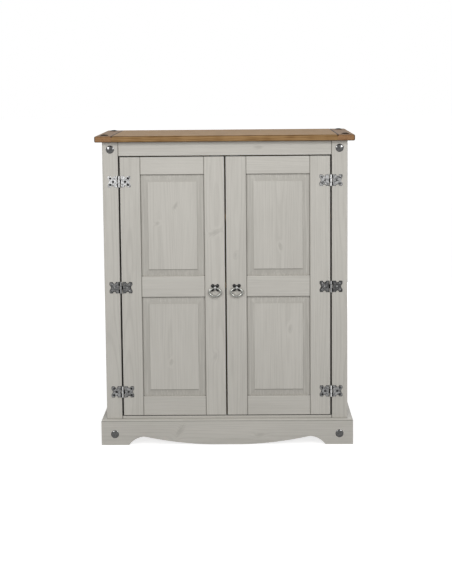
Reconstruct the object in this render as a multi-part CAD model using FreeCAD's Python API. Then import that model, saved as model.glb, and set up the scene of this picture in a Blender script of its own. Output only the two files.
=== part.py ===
import FreeCAD, Part
import math
import os

from FreeCAD import Vector

# A free-standing pine cupboard with two framed and panelled doors.
# X runs to the right, Y to the back and Z up. The origin is on the floor, under the
# middle of the top. Every length is in millimetres.

# Overall sizes
top_width = 920.0
top_depth = 430.0
cupboard_height = 1120.0

# Top, a board between two end boards
top_thickness = 22.0
top_end_width = 60.0
top_arris = 5.0
top_joint_groove = 1.2
top_tongue_length = 12.0
top_tongue_thickness = 7.0
side_overhang = 24.0
front_overhang = 24.0
back_overhang = 6.0

# Corner posts
post_width = 57.0
post_depth = 45.0
post_arris = 4.0
inner_arris = 1.2

# Carcass rails
face_rail_thickness = 24.0
face_top_rail_height = 50.0
side_rail_thickness = 22.0
side_top_rail_height = 78.0
back_rail_thickness = 22.0
back_top_rail_height = 68.0
bottom_rail_lift = 35.0
low_rail_top = 173.8
sill_reveal = 9.6

# Joinery shared by the carcass and the doors
tenon_thickness = 8.0
tenon_shoulder = 10.0
post_tenon_length = 25.0
door_tenon_length = 30.0
joint_clearance = 0.1
joint_groove = 1.6

# Doors
door_thickness = 21.0
door_gap_side = 4.2
door_gap_top = 3.5
door_gap_bottom = 2.4
door_gap_middle = 4.4
door_stile_width = 73.0
door_top_rail_height = 63.2
door_mid_rail_height = 74.4
door_bottom_rail_height = 69.3
lower_opening_height = 365.7
door_arris = 2.0

# Raised and fielded panels, measured back from the face of their frame
panel_groove_depth = 8.0
panel_tongue_thickness = 6.5
panel_tongue_set_back = 7.5
panel_float = 0.3
bevel_width = 26.0
bevel_top_set_back = 3.2
field_set_back = 1.2

# Plinth
plinth_height = 92.5
plinth_thickness = 19.0
moulding_height = 5.0
moulding_quirk = 1.2
ledge_width = 14.5
foot_length = 100.0
cove_length = 52.0
apron_rise = 30.5
swag_length = 248.0
apron_clearance = 0.9

# Inside
floor_thickness = 12.0
floor_drop = 6.0
floor_groove_depth = 8.0
notch_clearance = 1.0
shelf_thickness = 18.0
shelf_back_clearance = 1.0
shelf_side_clearance = 2.0
shelf_door_clearance = 6.0
lower_compartment_height = 470.0
middle_compartment_height = 232.0
bearer_width = 18.0
bearer_height = 24.0
back_board_count = 8
back_board_thickness = 10.0
back_set_in = 2.0
back_rebate = 12.0
board_tongue_length = 6.0
board_tongue_thickness = 3.0
board_gap = 0.4

# Wooden buttons that hold the top down
button_width = 30.0
button_length = 34.0
button_thickness = 16.0
button_tongue_length = 9.0
button_tongue_thickness = 6.0
button_slot_clearance = 0.3
button_inset_share = 0.22

# Butterfly hinges
hinge_inset = 87.5
hinge_height = 41.0
knuckle_count = 3
knuckle_radius = 3.8
knuckle_gap = 0.4
pin_radius = 1.9
pin_clearance = 0.08
pin_head_radius = 3.1
pin_head_height = 1.8
pin_crown_share = 0.6
leaf_length = 41.0
leaf_thickness = 1.6
leaf_relief = 0.6
leaf_scallop_radius = 5.6
leaf_scallop_from_axis = 23.6
leaf_notch_radius = 6.4
leaf_notch_set_out = 1.6
leaf_lobe_chamfer = 2.2
outer_screw_from_axis = 31.5
outer_screw_spread = 23.0
inner_screw_from_axis = 21.5

# Turned metal is drawn with flat sides, because there are many small pieces of it
turned_sides = 10
ring_sides = 20
ring_wire_sides = 8
screw_sides = 8
shank_sides = 4
nut_sides = 6

# Screws
screw_head_radius = 2.8
screw_head_height = 1.2
screw_crown_share = 0.6
screw_shank_radius = 1.4
screw_length = 12.0

# Dome-headed nails
dome_radius = 14.4
dome_height = 4.4
dome_sides = 12
dome_steps = 2
dome_shank_radius = 1.5
dome_shank_sides = 4
dome_shank_length = 14.0
post_dome_drop = 26.5
plinth_dome_height = 40.0
plinth_dome_inset = 49.0
top_dome_inset = 54.0

# Ring handles
handle_drop = 3.7
plate_lobe_radius = 5.7
plate_lobe_spread = 18.4
plate_lobe_rise = 14.8
plate_hub_radius = 8.2
plate_thickness = 1.8
eye_hole_radius = 3.6
eye_wire_radius = 1.6
eye_ease_share = 0.45
eye_neck_radius = 2.6
eye_shank_radius = 2.0
nut_radius = 4.6
nut_thickness = 3.2
shank_clearance = 0.1
ring_radius = 18.6
ring_wire_radius = 3.2

# Magnetic catches
magnet_width = 40.0
magnet_depth = 13.0
magnet_height = 26.0
magnet_rail_overlap = 12.0
magnet_from_middle = 16.0
pole_width = 32.0
pole_height = 9.0
pole_rise = 3.0
catch_gap = 0.3
catch_plate_thickness = 0.8
catch_plate_margin = 2.0

# One overrun for every cutting tool, and the match used to find edges
overrun = 5.0
match_tolerance = 0.01

# Outlines as shares of the sizes that they follow
cove_shares = ((0.0, 0.0), (0.36, 0.60), (0.88, 0.965))
swag_shares = ((0.035, 0.965), (0.60, 0.215), (1.0, 0.0))
side_cove_shares = ((0.0, 0.0), (0.36, 0.60), (1.0, 1.0))
ovolo_share = 0.30

# Places worked out from the sizes above
top_half = top_width / 2
top_front = -top_depth / 2
top_back = top_depth / 2
carcass_top = cupboard_height - top_thickness
body_half = top_half - side_overhang
face_y = top_front + front_overhang
back_y = top_back - back_overhang
post_inner = body_half - post_width
front_post_back = face_y + post_depth
back_post_front = back_y - post_depth
sill_top = plinth_height + sill_reveal
lintel = carcass_top - face_top_rail_height
door_outer = post_inner - door_gap_side
door_inner = door_gap_middle / 2
door_low = sill_top + door_gap_bottom
door_high = lintel - door_gap_top
door_back = face_y + door_thickness
opening_outer = door_outer - door_stile_width
opening_inner = door_inner + door_stile_width
lower_opening_low = door_low + door_bottom_rail_height
lower_opening_high = lower_opening_low + lower_opening_height
upper_opening_low = lower_opening_high + door_mid_rail_height
upper_opening_high = door_high - door_top_rail_height
side_opening_high = carcass_top - side_top_rail_height
back_rail_back = back_y - back_set_in - back_board_thickness
back_rail_front = back_rail_back - back_rail_thickness
floor_top = sill_top - floor_drop
shelf_low_z = floor_top + lower_compartment_height
shelf_high_z = shelf_low_z + shelf_thickness + middle_compartment_height
hinge_x = post_inner - door_gap_side / 2
hinge_y = face_y - knuckle_radius
bore_radius = (pin_radius + pin_clearance) / math.cos(math.pi / turned_sides)
hinge_heights = (door_low + hinge_inset, (door_low + door_high) / 2, door_high - hinge_inset)
handle_x = (door_inner + opening_inner) / 2
handle_height = (lower_opening_high + upper_opening_low) / 2 - handle_drop
eye_y = face_y - plate_thickness - eye_hole_radius - 2 * eye_wire_radius

across = Vector(1, 0, 0)
forward = Vector(0, -1, 0)
upward = Vector(0, 0, 1)


# Small tools for solids
def solid(block):
    x_low, x_high, y_low, y_high, z_low, z_high = block
    corner = Vector(x_low, y_low, z_low)
    return Part.makeBox(x_high - x_low, y_high - y_low, z_high - z_low, corner)


def grown(block, margin):
    x_low, x_high, y_low, y_high, z_low, z_high = block
    return (x_low - margin, x_high + margin, y_low - margin, y_high + margin, z_low - margin, z_high + margin)


def joined(shapes):
    return shapes[0].fuse(shapes[1:]).removeSplitter()


def mirrored(shape):
    return shape.mirror(Vector(0, 0, 0), across)


def mirrored_block(block):
    x_low, x_high, y_low, y_high, z_low, z_high = block
    return (-x_high, -x_low, y_low, y_high, z_low, z_high)


def edges_at(shape, x=None, y=None, z=None):
    """The edges that lie wholly at the given coordinates."""
    found = []
    for edge in shape.Edges:
        box = edge.BoundBox
        spans = ((x, box.XMin, box.XMax), (y, box.YMin, box.YMax), (z, box.ZMin, box.ZMax))
        wanted = [(place, low, high) for place, low, high in spans if place is not None]
        gaps = [abs(end - place) for place, low, high in wanted for end in (low, high)]
        if max(gaps) < match_tolerance:
            found.append(edge)
    return found


def edges_at_all(shape, places):
    return [edge for place in places for edge in edges_at(shape, **place)]


def rounded(shape, radius, places):
    """Rounds every edge that lies at one of the places, each a dictionary of coordinates."""
    return shape.makeFillet(radius, edges_at_all(shape, places))


def chamfered(shape, size, places):
    return shape.makeChamfer(size, edges_at_all(shape, places))


def prism(points, direction):
    """A straight-sided outline pushed along a vector."""
    return Part.Face(Part.makePolygon(list(points) + [points[0]])).extrude(direction)


def regular_outline(radius, sides, height):
    turn = 2 * math.pi / sides
    corners = []
    for side in range(sides + 1):
        angle = turn * side
        corners.append(Vector(radius * math.cos(angle), radius * math.sin(angle), height))
    return Part.makePolygon(corners)


def faceted(levels, sides):
    """A turned piece with flat sides about Z, through levels of (radius, height)."""
    return Part.makeLoft([regular_outline(radius, sides, height) for radius, height in levels], True, True)


def wire_ring(radius, wire_radius):
    """A closed ring of wire about Y, with flat sides both around the ring and around the wire."""
    def corner(around, along):
        turn = 2 * math.pi * around / ring_sides
        twist = 2 * math.pi * along / ring_wire_sides
        reach = radius + wire_radius * math.cos(twist)
        return Vector(reach * math.cos(turn), wire_radius * math.sin(twist), reach * math.sin(turn))

    faces = []
    for around in range(ring_sides):
        for along in range(ring_wire_sides):
            steps = ((around, along), (around + 1, along), (around + 1, along + 1), (around, along + 1))
            corners = [corner(*step) for step in steps]
            faces.append(Part.Face(Part.makePolygon(corners + corners[:1])))
    return Part.makeSolid(Part.makeShell(faces))


def driven(shape, seat, outward):
    """Turns a fastener drawn along Z to stand out along outward from its seat."""
    moved = shape.copy()
    moved.Placement = FreeCAD.Placement(seat, FreeCAD.Rotation(upward, outward))
    return moved


# Mortise and tenon joints
def tenon_bar(block, along, length):
    """The bar whose two ends are the tenons of a rail that runs along X (0) or Y (1)."""
    bar = list(block)
    through = 1 - along
    middle = (block[2 * through] + block[2 * through + 1]) / 2
    bar[2 * along] -= length
    bar[2 * along + 1] += length
    bar[2 * through] = middle - tenon_thickness / 2
    bar[2 * through + 1] = middle + tenon_thickness / 2
    bar[4] += tenon_shoulder
    bar[5] -= tenon_shoulder
    return tuple(bar)


def tenoned(block, along, length):
    return joined([solid(block), solid(tenon_bar(block, along, length))])


def mortise(block, along, length):
    return solid(grown(tenon_bar(block, along, length), joint_clearance))


# Raised and fielded panels, drawn with their opening's corner at the origin and their face to -Y
def panel_tongue(width, height):
    reach = panel_groove_depth - panel_float
    back = panel_tongue_set_back + panel_tongue_thickness
    return (-reach, width + reach, panel_tongue_set_back, back, -reach, height + reach)


def fielded_panel(width, height):
    tongue = solid(panel_tongue(width, height))
    slopes = Part.makeWedge(bevel_width, bevel_top_set_back, bevel_width, 0, 0,
                            width - bevel_width, panel_tongue_set_back, height - bevel_width, height, width)
    field = solid((bevel_width, width - bevel_width, field_set_back, panel_tongue_set_back,
                   bevel_width, height - bevel_width))
    return joined([tongue, slopes, field])


def panel_groove(width, height):
    block = grown(panel_tongue(width, height), panel_float)
    return solid(block)


def placed(shape, x, y, z):
    moved = shape.copy()
    moved.translate(Vector(x, y, z))
    return moved


def turned_to_left_side(shape):
    """Turns a piece that faces the front so that it faces the left side."""
    turned = shape.copy()
    turned.rotate(Vector(0, 0, 0), upward, -90)
    turned.translate(Vector(-body_half, back_post_front, low_rail_top))
    return turned


# The rails of the carcass, as blocks
face_top_rail_block = (-post_inner, post_inner, face_y, face_y + face_rail_thickness, lintel, carcass_top)
face_bottom_rail_block = (-post_inner, post_inner, face_y, face_y + face_rail_thickness,
                          bottom_rail_lift, sill_top)
back_top_rail_block = (-post_inner, post_inner, back_rail_front, back_rail_back,
                       carcass_top - back_top_rail_height, carcass_top)
back_bottom_rail_block = (-post_inner, post_inner, back_rail_front, back_rail_back,
                          bottom_rail_lift, low_rail_top)
side_top_rail_block = (-body_half, -body_half + side_rail_thickness, front_post_back, back_post_front,
                       side_opening_high, carcass_top)
side_bottom_rail_block = (-body_half, -body_half + side_rail_thickness, front_post_back, back_post_front,
                          bottom_rail_lift, low_rail_top)
side_opening_width = back_post_front - front_post_back
side_opening_height = side_opening_high - low_rail_top
side_groove = turned_to_left_side(panel_groove(side_opening_width, side_opening_height))
floor_block = (-body_half + side_rail_thickness - floor_groove_depth,
               body_half - side_rail_thickness + floor_groove_depth,
               face_y + face_rail_thickness - floor_groove_depth,
               back_rail_front + floor_groove_depth,
               floor_top - floor_thickness, floor_top)
front_post_block = (-body_half, -post_inner, face_y, front_post_back, 0, carcass_top)
back_post_block = (-body_half, -post_inner, back_post_front, back_y, 0, carcass_top)


# Top
def make_top():
    end_inner = top_half - top_end_width
    middle_z = carcass_top + top_thickness / 2
    tongue = (-end_inner - top_tongue_length, end_inner + top_tongue_length,
              top_front + top_end_width, top_back - top_end_width,
              middle_z - top_tongue_thickness / 2, middle_z + top_tongue_thickness / 2)
    board = solid((-end_inner, end_inner, top_front, top_back, carcass_top, cupboard_height))
    long_edges = [{"y": y, "z": z} for y in (top_front, top_back) for z in (carcass_top, cupboard_height)]
    board = rounded(board, top_arris, long_edges)
    joints = [{"x": x, "z": cupboard_height} for x in (-end_inner, end_inner)]
    board = chamfered(board, top_joint_groove, joints)
    board = joined([board, solid(tongue)])

    end = solid((-top_half, -end_inner, top_front, top_back, carcass_top, cupboard_height))
    short_edges = [{"x": -top_half, "z": z} for z in (carcass_top, cupboard_height)]
    end = rounded(end, top_arris, long_edges + short_edges)
    end = chamfered(end, top_joint_groove, joints[:1])
    end = end.cut(solid(grown(tongue, joint_clearance)))
    end = end.cut([dome_hole(*place) for place in top_dome_places()])
    return board, end, mirrored(end)


# Posts and rails
def make_posts(post_cuts):
    front = rounded(solid(front_post_block), post_arris, [{"x": -body_half, "y": face_y}])
    joints = [{"x": -post_inner, "y": face_y}, {"x": -body_half, "y": front_post_back}]
    front = chamfered(front, joint_groove, joints)
    back = rounded(solid(back_post_block), post_arris, [{"x": -body_half, "y": back_y}])
    back = chamfered(back, joint_groove, [{"x": -body_half, "y": back_post_front}])
    rails_across = (face_top_rail_block, face_bottom_rail_block, back_top_rail_block, back_bottom_rail_block)
    rails_back = (side_top_rail_block, side_bottom_rail_block)
    mortises = [mortise(block, 0, post_tenon_length) for block in rails_across]
    mortises += [mortise(block, 1, post_tenon_length) for block in rails_back]
    mortises.append(side_groove)
    rebate = solid((-post_inner - back_rebate, -post_inner + overrun, back_rail_back, back_y + overrun,
                    bottom_rail_lift, carcass_top + overrun))
    front = front.cut(mortises + post_cuts)
    back = back.cut(mortises + [rebate])
    return front, back


def make_face_rails():
    face_back = face_y + face_rail_thickness
    ends = [{"x": x, "y": face_y} for x in (-post_inner, post_inner)]
    top = chamfered(tenoned(face_top_rail_block, 0, post_tenon_length), joint_groove, ends)
    top = rounded(top, inner_arris, [{"y": face_y, "z": lintel}])
    top = top.cut(button_slots("front"))
    bottom = chamfered(tenoned(face_bottom_rail_block, 0, post_tenon_length), joint_groove, ends)
    bottom = rounded(bottom, inner_arris, [{"y": face_y, "z": sill_top}, {"y": face_back, "z": sill_top}])
    bottom = bottom.cut(solid(floor_block))
    return top, bottom


def make_back_rails():
    top = tenoned(back_top_rail_block, 0, post_tenon_length).cut(button_slots("back"))
    bottom = tenoned(back_bottom_rail_block, 0, post_tenon_length)
    return top, bottom.cut(solid(floor_block))


def make_side_rails():
    ends = [{"x": -body_half, "y": y} for y in (front_post_back, back_post_front)]
    top = chamfered(tenoned(side_top_rail_block, 1, post_tenon_length), joint_groove, ends)
    top = top.cut([side_groove] + button_slots("left"))
    bottom = chamfered(tenoned(side_bottom_rail_block, 1, post_tenon_length), joint_groove, ends)
    return top, bottom.cut([side_groove, solid(floor_block)])


def make_side_panel():
    return turned_to_left_side(fielded_panel(side_opening_width, side_opening_height))


# Back boards, tongued and grooved into each other
def make_back_boards():
    board_low = bottom_rail_lift + board_gap
    board_high = carcass_top - board_gap
    outer = post_inner + back_rebate - board_gap
    pitch = 2 * outer / back_board_count
    middle_y = back_rail_back + back_board_thickness / 2
    boards = []
    for number in range(back_board_count):
        left = -outer + number * pitch
        right = left + pitch - board_gap
        board = solid((left, right, back_rail_back, back_rail_back + back_board_thickness,
                       board_low, board_high))
        board = chamfered(board, inner_arris, [{"x": x, "y": back_rail_back} for x in (left, right)])
        tongue = (right - overrun, right + board_tongue_length, middle_y - board_tongue_thickness / 2,
                  middle_y + board_tongue_thickness / 2, board_low, board_high)
        groove = (left - overrun, left + board_tongue_length, tongue[2] - board_gap / 2,
                  tongue[3] + board_gap / 2, board_low - overrun, board_high + overrun)
        if number < back_board_count - 1:
            board = joined([board, solid(tongue)])
        if number > 0:
            board = board.cut(solid(groove))
        boards.append(board)
    return Part.makeCompound(boards)


# Floor and shelves
def post_notches():
    blocks = [grown(block, notch_clearance) for block in (front_post_block, back_post_block)]
    return [solid(block) for block in blocks] + [solid(mirrored_block(block)) for block in blocks]


def make_floor():
    return solid(floor_block).cut(post_notches())


def make_shelf(underside):
    panel_back = body_half - panel_tongue_set_back - panel_tongue_thickness
    edge = panel_back - shelf_side_clearance
    front = door_back + shelf_door_clearance
    back = back_rail_back - shelf_back_clearance
    board = solid((-edge, edge, front, back, underside, underside + shelf_thickness))
    board = chamfered(board, inner_arris, [{"y": front, "z": underside + shelf_thickness}])
    return board.cut(post_notches())


def make_bearers():
    outer = body_half - panel_tongue_set_back - panel_tongue_thickness - shelf_side_clearance
    bearers = []
    for underside in (shelf_low_z, shelf_high_z):
        block = (-outer, -outer + bearer_width, front_post_back, back_post_front,
                 underside - bearer_height, underside)
        bearers += [solid(block), solid(mirrored_block(block))]
    return Part.makeCompound(bearers)


# Plinth boards with a moulded top edge and a shaped lower edge
def plinth_section():
    """The section of a plinth board that faces -X, in the plane Y = 0."""
    outer = -body_half - plinth_thickness
    moulding_low = plinth_height - moulding_height
    ledge = -body_half - ledge_width
    quirk = outer + moulding_quirk
    middle_x = quirk + (ledge - quirk) * ovolo_share
    middle_z = plinth_height - moulding_height * ovolo_share
    corners = [Vector(ledge, 0, plinth_height), Vector(-body_half, 0, plinth_height),
               Vector(-body_half, 0, 0), Vector(outer, 0, 0),
               Vector(outer, 0, moulding_low), Vector(quirk, 0, moulding_low)]
    straight = Part.makePolygon(corners)
    ovolo = Part.Arc(corners[-1], Vector(middle_x, 0, middle_z), corners[0]).toShape()
    return Part.Face(Part.Wire(straight.Edges + [ovolo]))


def side_plinth_cutter():
    """The space under a side board, between its front and back feet."""
    front = face_y - plinth_thickness
    inner = -body_half + overrun
    low = -overrun
    rise = []
    for start, way in ((front + foot_length, 1), (back_y - foot_length, -1)):
        cove = []
        for along, up in side_cove_shares:
            cove.append(Vector(inner, start + way * cove_length * along, apron_rise * up))
        rise.append(cove)
    edges = [Part.Arc(*rise[0]).toShape(),
             Part.makeLine(rise[0][2], rise[1][2]),
             Part.Arc(*reversed(rise[1])).toShape(),
             Part.makeLine(rise[1][0], Vector(inner, back_y - foot_length, low)),
             Part.makeLine(Vector(inner, back_y - foot_length, low), Vector(inner, front + foot_length, low)),
             Part.makeLine(Vector(inner, front + foot_length, low), rise[0][0])]
    outline = Part.Wire(Part.__sortEdges__(edges))
    return Part.Face(outline).extrude(Vector(-plinth_thickness - 2 * overrun, 0, 0))


def front_plinth_cutter():
    """The space under the front board: a cove, a soft peak and a long swag down to the middle."""
    outer = body_half + plinth_thickness
    y = face_y + overrun
    start = foot_length - outer
    peak = start + cove_length
    cove = [Vector(start + cove_length * along, y, apron_rise * up) for along, up in cove_shares]
    drop = apron_rise - apron_clearance
    swag = [Vector(peak + swag_length * along, y, apron_clearance + drop * up) for along, up in swag_shares]
    crown = Vector(peak, y, apron_rise)
    middle = Vector(0, y, apron_clearance)
    low = Vector(0, y, -overrun)
    corner = Vector(start, y, -overrun)
    edges = [Part.Arc(*cove).toShape(),
             Part.Arc(cove[2], crown, swag[0]).toShape(),
             Part.Arc(*swag).toShape(),
             Part.makeLine(swag[2], middle),
             Part.makeLine(middle, low),
             Part.makeLine(low, corner),
             Part.makeLine(corner, cove[0])]
    half = Part.Face(Part.Wire(edges)).extrude(Vector(0, -plinth_thickness - 2 * overrun, 0))
    return joined([half, mirrored(half)])


def make_plinth():
    outer = body_half + plinth_thickness
    front = face_y - plinth_thickness
    section = plinth_section()
    side = section.copy()
    side.translate(Vector(0, front - overrun, 0))
    side = side.extrude(Vector(0, back_y - front + overrun, 0))
    board = section.copy()
    board.rotate(Vector(0, 0, 0), upward, 90)
    board.translate(Vector(-outer - overrun, face_y + body_half, 0))
    board = board.extrude(Vector(2 * outer + 2 * overrun, 0, 0))
    low = -overrun
    tall = Vector(0, 0, plinth_height + 2 * overrun)
    tip = Vector(-outer - overrun, front - overrun, low)
    heel = Vector(-body_half + overrun, face_y + overrun, low)
    in_front = prism([tip, heel, Vector(-body_half + overrun, front - overrun, low)], tall)
    beside = prism([tip, heel, Vector(-outer - overrun, face_y + overrun, low)], tall)
    side = side.cut([in_front, side_plinth_cutter()])
    holes = [dome_hole(*place) for place in plinth_dome_places()]
    board = board.cut([beside, mirrored(beside), front_plinth_cutter()] + holes)
    return board, side, mirrored(side)


# Buttons that hold the top, each with its tongue in a slot of the rail beside it
def button_places():
    """Each button as the rail's side, the middle of its tongue on that rail's inner face and its turn."""
    across_x = post_inner * (1 - 2 * button_inset_share)
    side_y = side_opening_width * (1 - 2 * button_inset_share) / 2
    middle_y = (front_post_back + back_post_front) / 2
    inner_side = -body_half + side_rail_thickness
    places = []
    for sign in (-1, 1):
        places.append(("front", Vector(sign * across_x, face_y + face_rail_thickness, carcass_top), 0))
        places.append(("back", Vector(sign * across_x, back_rail_front, carcass_top), 180))
        places.append(("left", Vector(inner_side, middle_y + sign * side_y, carcass_top), -90))
    return places


def button_at(place, turn, margin):
    """A button behind a rail's face that looks to +Y, turned about Z and grown by a margin."""
    half = button_width / 2
    tongue_high = -button_thickness + button_tongue_thickness
    body = (-half, half, button_slot_clearance, button_length, -button_thickness, 0)
    tongue = (-half - margin, half + margin, -button_tongue_length - margin, button_slot_clearance,
              -button_thickness - margin, tongue_high + margin)
    shape = joined([solid(body), solid(tongue)]) if margin == 0 else solid(tongue)
    shape.rotate(Vector(0, 0, 0), upward, turn)
    shape.translate(place)
    return shape


def button_slots(side):
    places = [(place, turn) for name, place, turn in button_places() if name == side]
    return [button_at(place, turn, button_slot_clearance) for place, turn in places]


def make_buttons():
    buttons = []
    for side, place, turn in button_places():
        button = button_at(place, turn, 0)
        buttons.append(button)
        if side == "left":
            buttons.append(mirrored(button))
    return Part.makeCompound(buttons)


# Dome-headed nails
def dome_nail(seat, outward):
    """A nail whose domed head rests on seat and stands out along outward."""
    sphere_radius = (dome_radius ** 2 + dome_height ** 2) / (2 * dome_height)
    half_angle = math.asin(dome_radius / sphere_radius)
    levels = []
    for step in range(dome_steps):
        angle = half_angle * (1 - step / dome_steps)
        height = dome_height - sphere_radius * (1 - math.cos(angle))
        levels.append((sphere_radius * math.sin(angle), height))
    return driven(joined([faceted(levels, dome_sides), dome_shank()]), seat, outward)


def dome_shank():
    return faceted([(dome_shank_radius, -dome_shank_length), (dome_shank_radius, 0)], dome_shank_sides)


def dome_hole(seat, outward):
    return driven(dome_shank(), seat, outward)


def top_dome_places():
    x = -top_half + top_end_width / 2
    depths = (top_front + top_dome_inset, top_back - top_dome_inset)
    return [(Vector(x, y, cupboard_height), upward) for y in depths]


def post_dome_places():
    x = -body_half + post_width / 2
    return [(Vector(x, face_y, carcass_top - post_dome_drop), forward)]


def plinth_dome_places():
    x = body_half + plinth_thickness - plinth_dome_inset
    front = face_y - plinth_thickness
    return [(Vector(sign * x, front, plinth_dome_height), forward) for sign in (-1, 1)]


def make_domes():
    left = [dome_nail(*place) for place in top_dome_places() + post_dome_places() + plinth_dome_places()[:1]]
    return Part.makeCompound(left + [mirrored(nail) for nail in left])


# Butterfly hinges, drawn for the left door with the pin's axis on Z
def knuckle_spans():
    """The lowest and highest point of each knuckle, from the foot of the hinge up."""
    pitch = hinge_height / knuckle_count
    low = -hinge_height / 2
    return [(low + number * pitch, low + (number + 1) * pitch) for number in range(knuckle_count)]


def leaf_outline(sign):
    """The plate of a leaf that lies on the wood, on the side that sign gives."""
    half = hinge_height / 2
    back = knuckle_radius
    plate = solid((0, leaf_length, back - leaf_thickness, back, -half, half))
    tall = leaf_thickness + 2 * overrun
    scallop = faceted([(leaf_scallop_radius, -tall), (leaf_scallop_radius, tall)], turned_sides)
    notch = faceted([(leaf_notch_radius, -tall), (leaf_notch_radius, tall)], turned_sides)
    bites = [driven(scallop, Vector(leaf_scallop_from_axis, 0, end * half), forward) for end in (-1, 1)]
    bites.append(driven(notch, Vector(leaf_length + leaf_notch_set_out, 0, 0), forward))
    corners = [{"x": leaf_length, "z": end * half} for end in (-1, 1)]
    plate = chamfered(plate.cut(bites), leaf_lobe_chamfer, corners)
    return plate if sign > 0 else mirrored(plate)


def hinge_leaf(sign):
    """A leaf with its knuckles: sign -1 is the leaf on the post, 1 the leaf on the door."""
    own = 0 if sign < 0 else 1
    half = hinge_height / 2
    bore = faceted([(bore_radius, -half - overrun), (bore_radius, half + overrun)], turned_sides)
    leaf = leaf_outline(sign)
    reliefs = []
    barrels = []
    for number, (low, high) in enumerate(knuckle_spans()):
        if number % 2 == own:
            span = (low + knuckle_gap / 2, high - knuckle_gap / 2)
            barrels.append(faceted([(knuckle_radius, height) for height in span], turned_sides))
            continue
        clear = knuckle_radius + leaf_relief
        reliefs.append(solid((-clear, clear, -knuckle_radius, knuckle_radius + overrun,
                              low - knuckle_gap / 2, high + knuckle_gap / 2)))
    leaf = leaf.cut(reliefs)
    leaf = joined([leaf] + barrels)
    seat_y = knuckle_radius - leaf_thickness
    hole = screw_shank(shank_clearance)
    holes = [driven(hole, Vector(x, seat_y, z), forward) for x, z in leaf_screw_places(sign)]
    return leaf.cut([bore] + holes)


def leaf_screw_places(sign):
    spread = outer_screw_spread / 2
    outer = sign * outer_screw_from_axis
    return [(outer, -spread), (outer, spread), (sign * inner_screw_from_axis, 0)]


def hinge_pin():
    half = hinge_height / 2
    pin = Part.makeCylinder(pin_radius, hinge_height, Vector(0, 0, -half), upward)
    levels = [(pin_head_radius, half), (pin_head_radius * pin_crown_share, half + pin_head_height)]
    head = faceted(levels, screw_sides)
    return joined([pin, head, head.mirror(Vector(0, 0, 0), upward)])


def screw_shank(margin):
    radius = screw_shank_radius + margin
    return faceted([(radius, -screw_length - margin), (radius, 0)], shank_sides)


def screw():
    """A screw along Z whose raised head seats at the origin."""
    levels = [(screw_head_radius, 0), (screw_head_radius * screw_crown_share, screw_head_height)]
    return joined([faceted(levels, screw_sides), screw_shank(0)])


def at_hinges(shape):
    """Copies of a piece drawn on the pin's axis, one at each hinge of the left door."""
    return [placed(shape, -hinge_x, hinge_y, height) for height in hinge_heights]


def at_hinge_screws(shape, sign):
    """Copies of a screw, or of its hole, in the three leaves on one side of the left door's hinges."""
    seat_y = hinge_y + knuckle_radius - leaf_thickness
    return [driven(shape, Vector(-hinge_x + x, seat_y, height + z), forward)
            for height in hinge_heights for x, z in leaf_screw_places(sign)]


# Doors, drawn for the left side
door_rail_spans = {
    "top": (upper_opening_high, door_high),
    "mid": (lower_opening_high, upper_opening_low),
    "bottom": (door_low, lower_opening_low),
}
door_opening_width = opening_outer - opening_inner
door_openings = {
    "upper": (upper_opening_low, upper_opening_high - upper_opening_low),
    "lower": (lower_opening_low, lower_opening_height),
}


def door_rail_block(name):
    low, high = door_rail_spans[name]
    return (-opening_outer, -opening_inner, face_y, door_back, low, high)


def door_grooves():
    return [placed(panel_groove(door_opening_width, height), -opening_outer, face_y, low)
            for low, height in door_openings.values()]


def make_door_frame():
    mortises = [mortise(door_rail_block(name), 0, door_tenon_length) for name in door_rail_spans]
    grooves = door_grooves()
    rims = [{"y": face_y, "z": z} for z in (door_low, door_high)]
    hinge_stile = solid((-door_outer, -opening_outer, face_y, door_back, door_low, door_high))
    hinge_stile = rounded(hinge_stile, door_arris, rims + [{"x": -door_outer, "y": face_y}])
    hinge_stile = chamfered(hinge_stile, joint_groove, [{"x": -opening_outer, "y": face_y}])
    hinge_stile = hinge_stile.cut(mortises + grooves + at_hinge_screws(screw_shank(0), 1))
    meeting_stile = solid((-opening_inner, -door_inner, face_y, door_back, door_low, door_high))
    meeting_stile = rounded(meeting_stile, door_arris, rims + [{"x": -door_inner, "y": face_y}])
    meeting_stile = chamfered(meeting_stile, joint_groove, [{"x": -opening_inner, "y": face_y}])
    shank_hole = driven(eye_shank(shank_clearance), Vector(-handle_x, face_y, handle_height), forward)
    meeting_stile = meeting_stile.cut(mortises + grooves + [shank_hole])
    rails = {}
    for name in door_rail_spans:
        rail = tenoned(door_rail_block(name), 0, door_tenon_length)
        joints = [{"x": x, "y": face_y} for x in (-opening_outer, -opening_inner)]
        rail = chamfered(rail, joint_groove, joints)
        edge = {"top": door_high, "bottom": door_low}.get(name)
        if edge is not None:
            rail = rounded(rail, door_arris, [{"y": face_y, "z": edge}])
        rails[name] = rail.cut(grooves)
    return hinge_stile, meeting_stile, rails


def make_door_panel(name):
    low, height = door_openings[name]
    return placed(fielded_panel(door_opening_width, height), -opening_outer, face_y, low)


# Ring handles, drawn for the left door
def make_handle_plate():
    lobe = faceted([(plate_lobe_radius, 0), (plate_lobe_radius, plate_thickness)], turned_sides)
    hub = faceted([(plate_hub_radius, 0), (plate_hub_radius, plate_thickness)], turned_sides)
    discs = [driven(hub, Vector(0, face_y, 0), forward)]
    for side in (-1, 1):
        for end in (-1, 1):
            centre = Vector(side * plate_lobe_spread / 2, face_y, end * plate_lobe_rise / 2)
            discs.append(driven(lobe, centre, forward))
    hole = driven(eye_shank(shank_clearance), Vector(0, face_y, 0), forward)
    return placed(joined(discs).cut(hole), -handle_x, 0, handle_height)


def eye_shank(margin):
    """The threaded end of the eye, along Z, from its neck at the plate to past the nut."""
    radius = eye_shank_radius + margin
    tip = -door_thickness - nut_thickness - margin
    return faceted([(radius, tip), (radius, plate_thickness)], screw_sides)


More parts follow.
